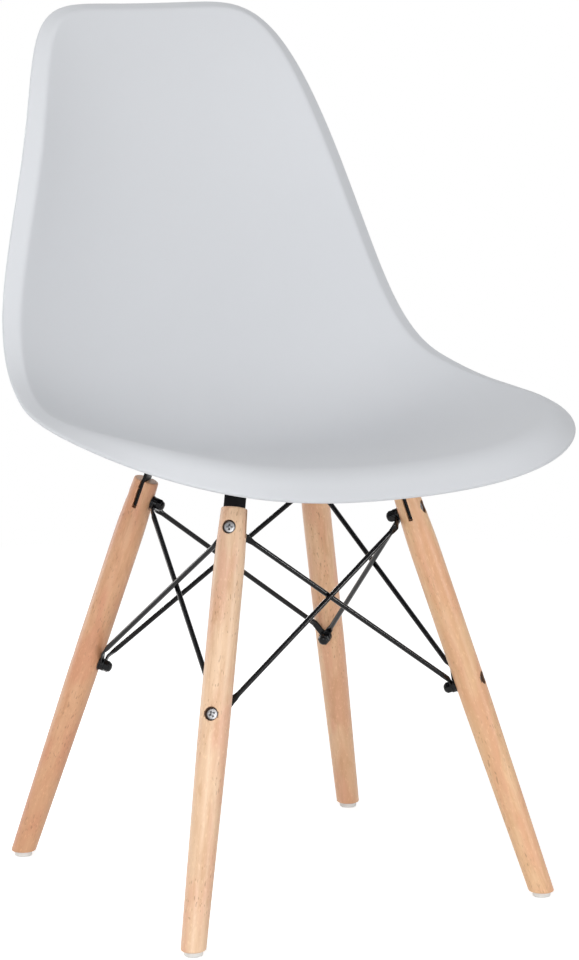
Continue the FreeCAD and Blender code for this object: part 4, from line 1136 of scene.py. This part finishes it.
class CHAIR_OT_fasteners(bpy.types.Operator):
    """Builds the leg bolts, washers and cap nuts"""

    bl_idname = "chair.fasteners"
    bl_label = "Leg Fasteners"

    def execute(self, context):
        base, metal = sizes_of(context, "base", "metal")
        zinc = zinc_plate(metal, "Zinc Plate")
        black = black_coat(metal, "Cap Nut Black")
        inside_nut = 4.0
        washers = []
        for level, drop in (("upper", base.upper_bolt), ("lower", base.lower_bolt)):
            seat = inner_flat(base, drop)
            eye_seat = seat + metal.washer_thickness
            nut_seat = eye_seat + 2.0 * metal.eye_thickness
            hole = metal.bolt_radius + BOLT_SPARE
            ring = washer(metal.washer_radius, hole, -eye_seat, -seat, 0.3)
            bolts, nuts = [], []
            for i, corner in enumerate(corners_of(base).values()):
                middle, x, y, z = corner.bolt_axes(drop)
                twist = 0.6 * i + (level == "lower")
                bolts.append(self.bolt(base, metal, nut_seat + inside_nut, (middle, x, y, z), twist))
                nuts.append(placed(self.cap_nut(metal, 0.35 * i), middle - z * nut_seat, x, -y, -z))
                washers.append(placed(ring, middle, x, y, z))
            add_piece("bolts_" + level, bolts, zinc, ["leg_bolts_" + level], 30.0)
            name = "cap_nuts_" + level
            add_piece(name + "_domed", nuts, black, [name], 30.0)
        add_piece("washers_behind_eyes", washers, black, ["leg_washers"], 30.0)
        return {"FINISHED"}

    def bolt(self, base, metal, end, axes, twist):
        """Bolt with a low domed head and a tapered cross recess, as a skin."""
        floor = base.recess_floor
        face = floor + metal.head_height
        head = metal.head_radius
        shank = metal.bolt_radius
        dome = np.linspace(0.0, 1.0, 9)
        rim_height = floor + 1.3 + (face - floor - 1.3) * dome
        rim = np.stack([head * np.sqrt(1.0 - (dome * 0.72) ** 2.6), rim_height], -1)
        under = [(1.0, -end), (shank - 0.4, -end), (shank, -end + 0.5), (shank, floor - 0.3)]
        under += [(shank + 0.1, floor), (head - 0.3, floor), (head, floor + 0.4)]
        profile = np.concatenate([under, rim, [(rim[-1, 0] * 0.5, face + 0.12), (0.6, face + 0.15)]])
        levels = ((1.3, 0.5, face - 2.0), (3.0, 0.85, face + 0.05), (3.3, 0.95, face + 1.0))
        outline = np.array([[1, 1], [-1, 1], [-1, -1], [1, -1]], float)
        tools = []
        for quarter in (0.0, math.pi / 2.0):
            angle = twist + quarter
            x = np.array([math.cos(angle), math.sin(angle), 0.0])
            y = np.array([-math.sin(angle), math.cos(angle), 0.0])
            rings = [x * (outline[:, :1] * a) + y * (outline[:, 1:] * b) + UP * z for a, b, z in levels]
            tools.append(placed(skin(rings), *axes))
        mesh = cut(build_mesh("bolt", [placed(lathe(profile, 64), *axes)]), tools)
        mesh.calc_loop_triangles()
        triangles = mesh_array(mesh.loop_triangles, "vertices", 3, np.int32)
        return mesh_array(mesh.vertices, "co") * 1000.0, NO_QUADS, triangles

    def cap_nut(self, metal, twist):
        """Hexagon that runs into a dome, with chamfers: the smaller of a hexagon's and a turned radius."""
        around = circle(96)[0]
        flats = metal.nut_flats / 2.0
        hexagon = flats / np.cos((around + np.pi / 6.0) % (np.pi / 3.0) - np.pi / 6.0)
        collar = metal.nut_collar
        corner = flats / math.cos(math.pi / 6.0)
        low = [(corner - 0.75, 0.0), (corner - 0.35, 0.16), (corner + 0.1, 0.5), (corner + 0.1, 1.5)]
        low += [(corner + 0.1, collar - 0.9), (corner - 0.3, collar - 0.4), (corner - 0.9, collar - 0.12)]
        low += [(corner - 1.25, collar), (metal.nut_dome + 0.12, collar + 0.02)]
        climb = np.linspace(0.0, 1.0, 12) * np.pi / 2.0
        start = collar + 0.25
        rise = start + (metal.nut_height - start) * np.sin(climb)
        dome = np.stack([metal.nut_dome * np.cos(climb * 0.96), rise], -1)
        turned = np.concatenate([low, dome])
        return skin(turned_rings(np.minimum(turned[:, :1], hexagon[None]), turned[:, 1], around + twist))


class CHAIR_OT_seat_fixings(bpy.types.Operator):
    """Builds the pads and screws between the shell and the bracket, and gives the model's inserts brass"""

    bl_idname = "chair.seat_fixings"
    bl_label = "Seat Fixings"

    def execute(self, context):
        sizes, base, metal = sizes_of(context, "shell", "base", "metal")
        bar_low = base.top_height + base.bar_rise
        black, yellow = (0.022, 0.022, 0.022), (0.62, 0.43, 0.17)
        rubber = finish_material("Pad Rubber", black, 0.7, 0.3, 0.0001, 0.2, (60.0, 1500.0))
        brass = finish_material("Insert Brass", yellow, 0.32, 0.15, 0.0001, 0.1, (90.0, 1500.0), 1.0)
        pad = washer(sizes.boss_radius, 3.6, bar_low + base.bar_thickness, sizes.boss_foot, 0.5)
        pads, screws = [], []
        for i, (side_x, side_y) in enumerate(CORNER_SIDES.values()):
            centre = np.array([side_x * sizes.boss_spread, side_y * sizes.boss_spread + BASE_Y, 0.0])
            pads.append(placed(pad, centre))
            screws.append(placed(self.screw(0.5 * i), centre + UP * bar_low))
        add_piece("pads_under_bosses", pads, rubber, ["shell_pads"])
        zinc = zinc_plate(metal, "Screw Zinc")
        add_piece("screws_into_bosses", screws, zinc, ["shell_screws"], 30.0)
        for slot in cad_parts["shell_inserts"].material_slots:
            slot.material = brass
        return {"FINISHED"}

    def screw(self, twist):
        """Screw with a flange and a round head, with its hexagon socket as a sunk six-sided well."""
        shank, head, flange = 3.0, 5.2, 6.5
        low, under = -3.8, -1.2
        well = 2.31
        outline = [(2.9, low), (head, low), (head, under), (flange, under), (flange, 0.0)]
        outline += [(shank, 0.0), (shank, 15.0), (1.2, 15.0)]
        profile = rounded_profile(outline, (0, 0.7, 0.2, 0.4, 0.2, 0.1, 0.5, 0))
        around = circle(48)[0]
        hexagon = well * math.cos(math.pi / 6) / np.cos((around - twist) % (np.pi / 3.0) - np.pi / 6.0)
        socket = np.array([(0.3, -1.55), (0.96, -1.6), (1.0, -1.75), (1.05, -3.75)])
        inside = turned_rings(socket[:, :1] * hexagon, socket[:, 1], around)
        return skin(np.concatenate([inside, turned_rings(profile[:, 0], profile[:, 1], around)]))


class CHAIR_OT_glides(bpy.types.Operator):
    """Builds the glides under the feet and their nails"""

    bl_idname = "chair.glides"
    bl_label = "Glides"

    def execute(self, context):
        base, metal = sizes_of(context, "base", "metal")
        white = (0.78, 0.78, 0.76)
        nylon = finish_material("Glide Nylon", white, 0.42, 0.15, 0.0001, 0.06, (80.0, 1400.0))
        radius, height = base.glide_radius, base.glide_height
        hole, recess, floor = 1.1, 2.65, 2.0
        outline = [(hole, floor), (recess, floor), (recess, 0.0), (radius, 0.0)]
        outline += [(radius, height), (hole, height), (hole, floor)]
        disc = lathe(rounded_profile(outline, (0, 0.2, 0.5, 1.6, 0.4, 0.1, 0), 5)[:-1], 64, closed=True)
        shape = [(0.9, 1.2), (2.6, 1.2), (2.6, floor), (1.0, floor), (1.0, 15.5), (0.3, 17.2)]
        nail = lathe(rounded_profile(shape, (0, 0.3, 0.2, 0.1, 0.3, 0)), 32)
        feet = [corner.foot * (1.0, 1.0, 0.0) for corner in corners_of(base).values()]
        discs = [placed(disc, foot) for foot in feet]
        nails = [placed(nail, foot) for foot in feet]
        add_piece("glide_discs", discs, nylon, ["glides"])
        add_piece("nails_in_glides", nails, zinc_plate(metal, "Nail Zinc"), ["glide_nails"])
        return {"FINISHED"}


class CHAIR_OT_stage(bpy.types.Operator):
    """Sets the floor, the light and the camera"""

    bl_idname = "chair.stage"
    bl_label = "Stage"

    def execute(self, context):
        look = context.scene.chair_stage
        context.scene.view_settings.view_transform = "Standard"
        self.camera(context.scene, look)
        self.world(context.scene, look)
        self.floor(look)
        aim = np.array([0.0, 0.0, 0.45])
        lamps = (
            ("Key Light", (-2.4, -2.7, 0.95), (1.3, 1.6), look.key),
            ("Fill Light", (1.66, -3.1, 1.0), (0.36, 0.36), look.fill),
            ("Top Light", (-1.5, -0.6, 2.6), (1.6, 1.6), look.top),
            ("Rear Light", (-1.62, 2.88, 0.42), (0.6, 0.6), look.rear),
            ("Back Light", (0.45, 3.0, 0.60), (0.9, 0.4), look.back),
        )
        for name, spot, size, watts in lamps:
            light = bpy.data.lights.new(name, "AREA")
            light.shape = "RECTANGLE"
            light.size, light.size_y = size
            light.energy = watts
            lamp = link_object(name, light)
            lamp.location = spot
            lamp.rotation_euler = Matrix(self.looking(aim - np.array(spot))).to_euler()
        return {"FINISHED"}

    def looking(self, direction):
        """Rotation whose -Z axis points along a direction, with its Y axis as upright as it can be."""
        back = -unit(direction)
        right = unit(np.cross(UP, back))
        return np.stack([right, np.cross(back, right), back], 1)

    def camera(self, scene, look):
        """Camera at the photograph's angle: axes from azimuth and elevation, then rolled about the view."""
        a, e, r = look.azimuth, look.elevation, look.roll
        back = np.array([math.sin(a) * math.cos(e), -math.cos(a) * math.cos(e), math.sin(e)])
        right = np.array([math.cos(a), math.sin(a), 0.0])
        up = np.cross(back, right)
        data = bpy.data.cameras.new("Camera")
        data.sensor_width = 36.0
        data.lens = look.focal
        data.clip_start, data.clip_end = 0.05, 60.0
        turned = np.eye(4)
        turned[:3, 0] = right * math.cos(r) + up * math.sin(r)
        turned[:3, 1] = up * math.cos(r) - right * math.sin(r)
        turned[:3, 2] = back
        turned[:3, 3] = np.array(look.camera) + (0.0, BASE_Y / 1000.0, 0.0)
        camera = link_object("Camera", data)
        camera.matrix_world = Matrix(turned)
        scene.camera = camera

    def seen_rays(self, tree):
        """One for the rays that see the backdrop: from the camera, and off or through a surface."""
        path = new_node(tree, "LightPath").outputs
        mirrored = sums(tree, "MAXIMUM", path["Is Glossy Ray"], path["Is Transmission Ray"])
        return sums(tree, "MAXIMUM", path["Is Camera Ray"], mirrored)

    def world(self, scene, look):
        """Even white light, and plain white to the camera and in reflections."""
        world = bpy.data.worlds.new("Studio")
        scene.world = world
        world.use_nodes = True
        tree = world.node_tree
        tree.nodes.clear()
        even, seen = (
            new_node(tree, "Background", {"Color": (1.0, 1.0, 1.0, 1.0), "Strength": strength}).outputs[0]
            for strength in (look.ambient, 1.0)
        )
        mix = new_node(tree, "MixShader", {0: self.seen_rays(tree), 1: even, 2: seen})
        new_node(tree, "OutputWorld", {"Surface": mix.outputs[0]})

    def floor(self, look):
        """Wide floor that keeps the chair's soft shadow, and runs into the white backdrop far from it."""
        points = np.array([[-1, -1, 0], [1, -1, 0], [1, 1, 0], [-1, 1, 0]]) * 9000.0
        mesh = build_mesh("floor", [(points, np.arange(4)[None], NO_TRIANGLES)])
        material = bpy.data.materials.new("Pale Floor")
        material.use_nodes = True
        tree = material.node_tree
        shader = tree.nodes["Principled BSDF"]
        feed(tree, shader, {"Base Color": rgba(look.floor), "Roughness": 0.9})
        seen = self.seen_rays(tree)
        glow = new_node(tree, "Emission", {"Strength": sums(tree, "MULTIPLY", seen, look.floor_glow)})
        lit = new_node(tree, "AddShader", {0: shader.outputs[0], 1: glow.outputs[0]})
        white = new_node(tree, "Emission")
        where = new_node(tree, "TexCoord").outputs["Object"]
        away = new_node(tree, "VectorMath", {0: where}, operation="LENGTH").outputs["Value"]
        far = sums(tree, "MULTIPLY", seen, ramp(tree, away, look.near_floor, look.far_floor))
        mix = new_node(tree, "MixShader", {0: far, 1: lit.outputs[0], 2: white.outputs[0]})
        feed(tree, tree.nodes["Material Output"], {"Surface": mix.outputs[0]})
        mesh.materials.append(material)
        link_object("floor", mesh)


class CHAIR_PT_panel(bpy.types.Panel):
    """Lists the chair's pieces and their sizes"""

    bl_idname = "CHAIR_PT_panel"
    bl_label = "Moulded Shell Chair"
    bl_space_type = "VIEW_3D"
    bl_region_type = "UI"
    bl_category = "Chair"

    def draw(self, context):
        for operator in OPERATORS:
            self.layout.operator(operator.bl_idname)
        for name in GROUPS:
            sizes = getattr(context.scene, name)
            box = self.layout.box()
            box.label(text=sizes.bl_rna.name)
            for key in sizes.__annotations__:
                box.prop(sizes, key)


GROUPS = {
    "chair_shell": ShellSizes,
    "chair_base": BaseSizes,
    "chair_metal": MetalSizes,
    "chair_stage": StageLook,
}
OPERATORS = (
    CHAIR_OT_shell,
    CHAIR_OT_legs,
    CHAIR_OT_bracket,
    CHAIR_OT_rods,
    CHAIR_OT_fasteners,
    CHAIR_OT_seat_fixings,
    CHAIR_OT_glides,
    CHAIR_OT_stage,
)
CLASSES = (*GROUPS.values(), *OPERATORS, CHAIR_PT_panel)


def register():
    for item in CLASSES:
        bpy.utils.register_class(item)
    for name, group in GROUPS.items():
        setattr(bpy.types.Scene, name, bpy.props.PointerProperty(type=group))


def unregister():
    for name in GROUPS:
        delattr(bpy.types.Scene, name)
    for item in reversed(CLASSES):
        bpy.utils.unregister_class(item)


def main():
    """Builds every piece and the stage."""
    register()
    bpy.ops.chair.shell()
    bpy.ops.chair.legs()
    bpy.ops.chair.bracket()
    bpy.ops.chair.rods()
    bpy.ops.chair.fasteners()
    bpy.ops.chair.seat_fixings()
    bpy.ops.chair.glides()
    bpy.ops.chair.stage()


if __name__ == "__main__":
    main()
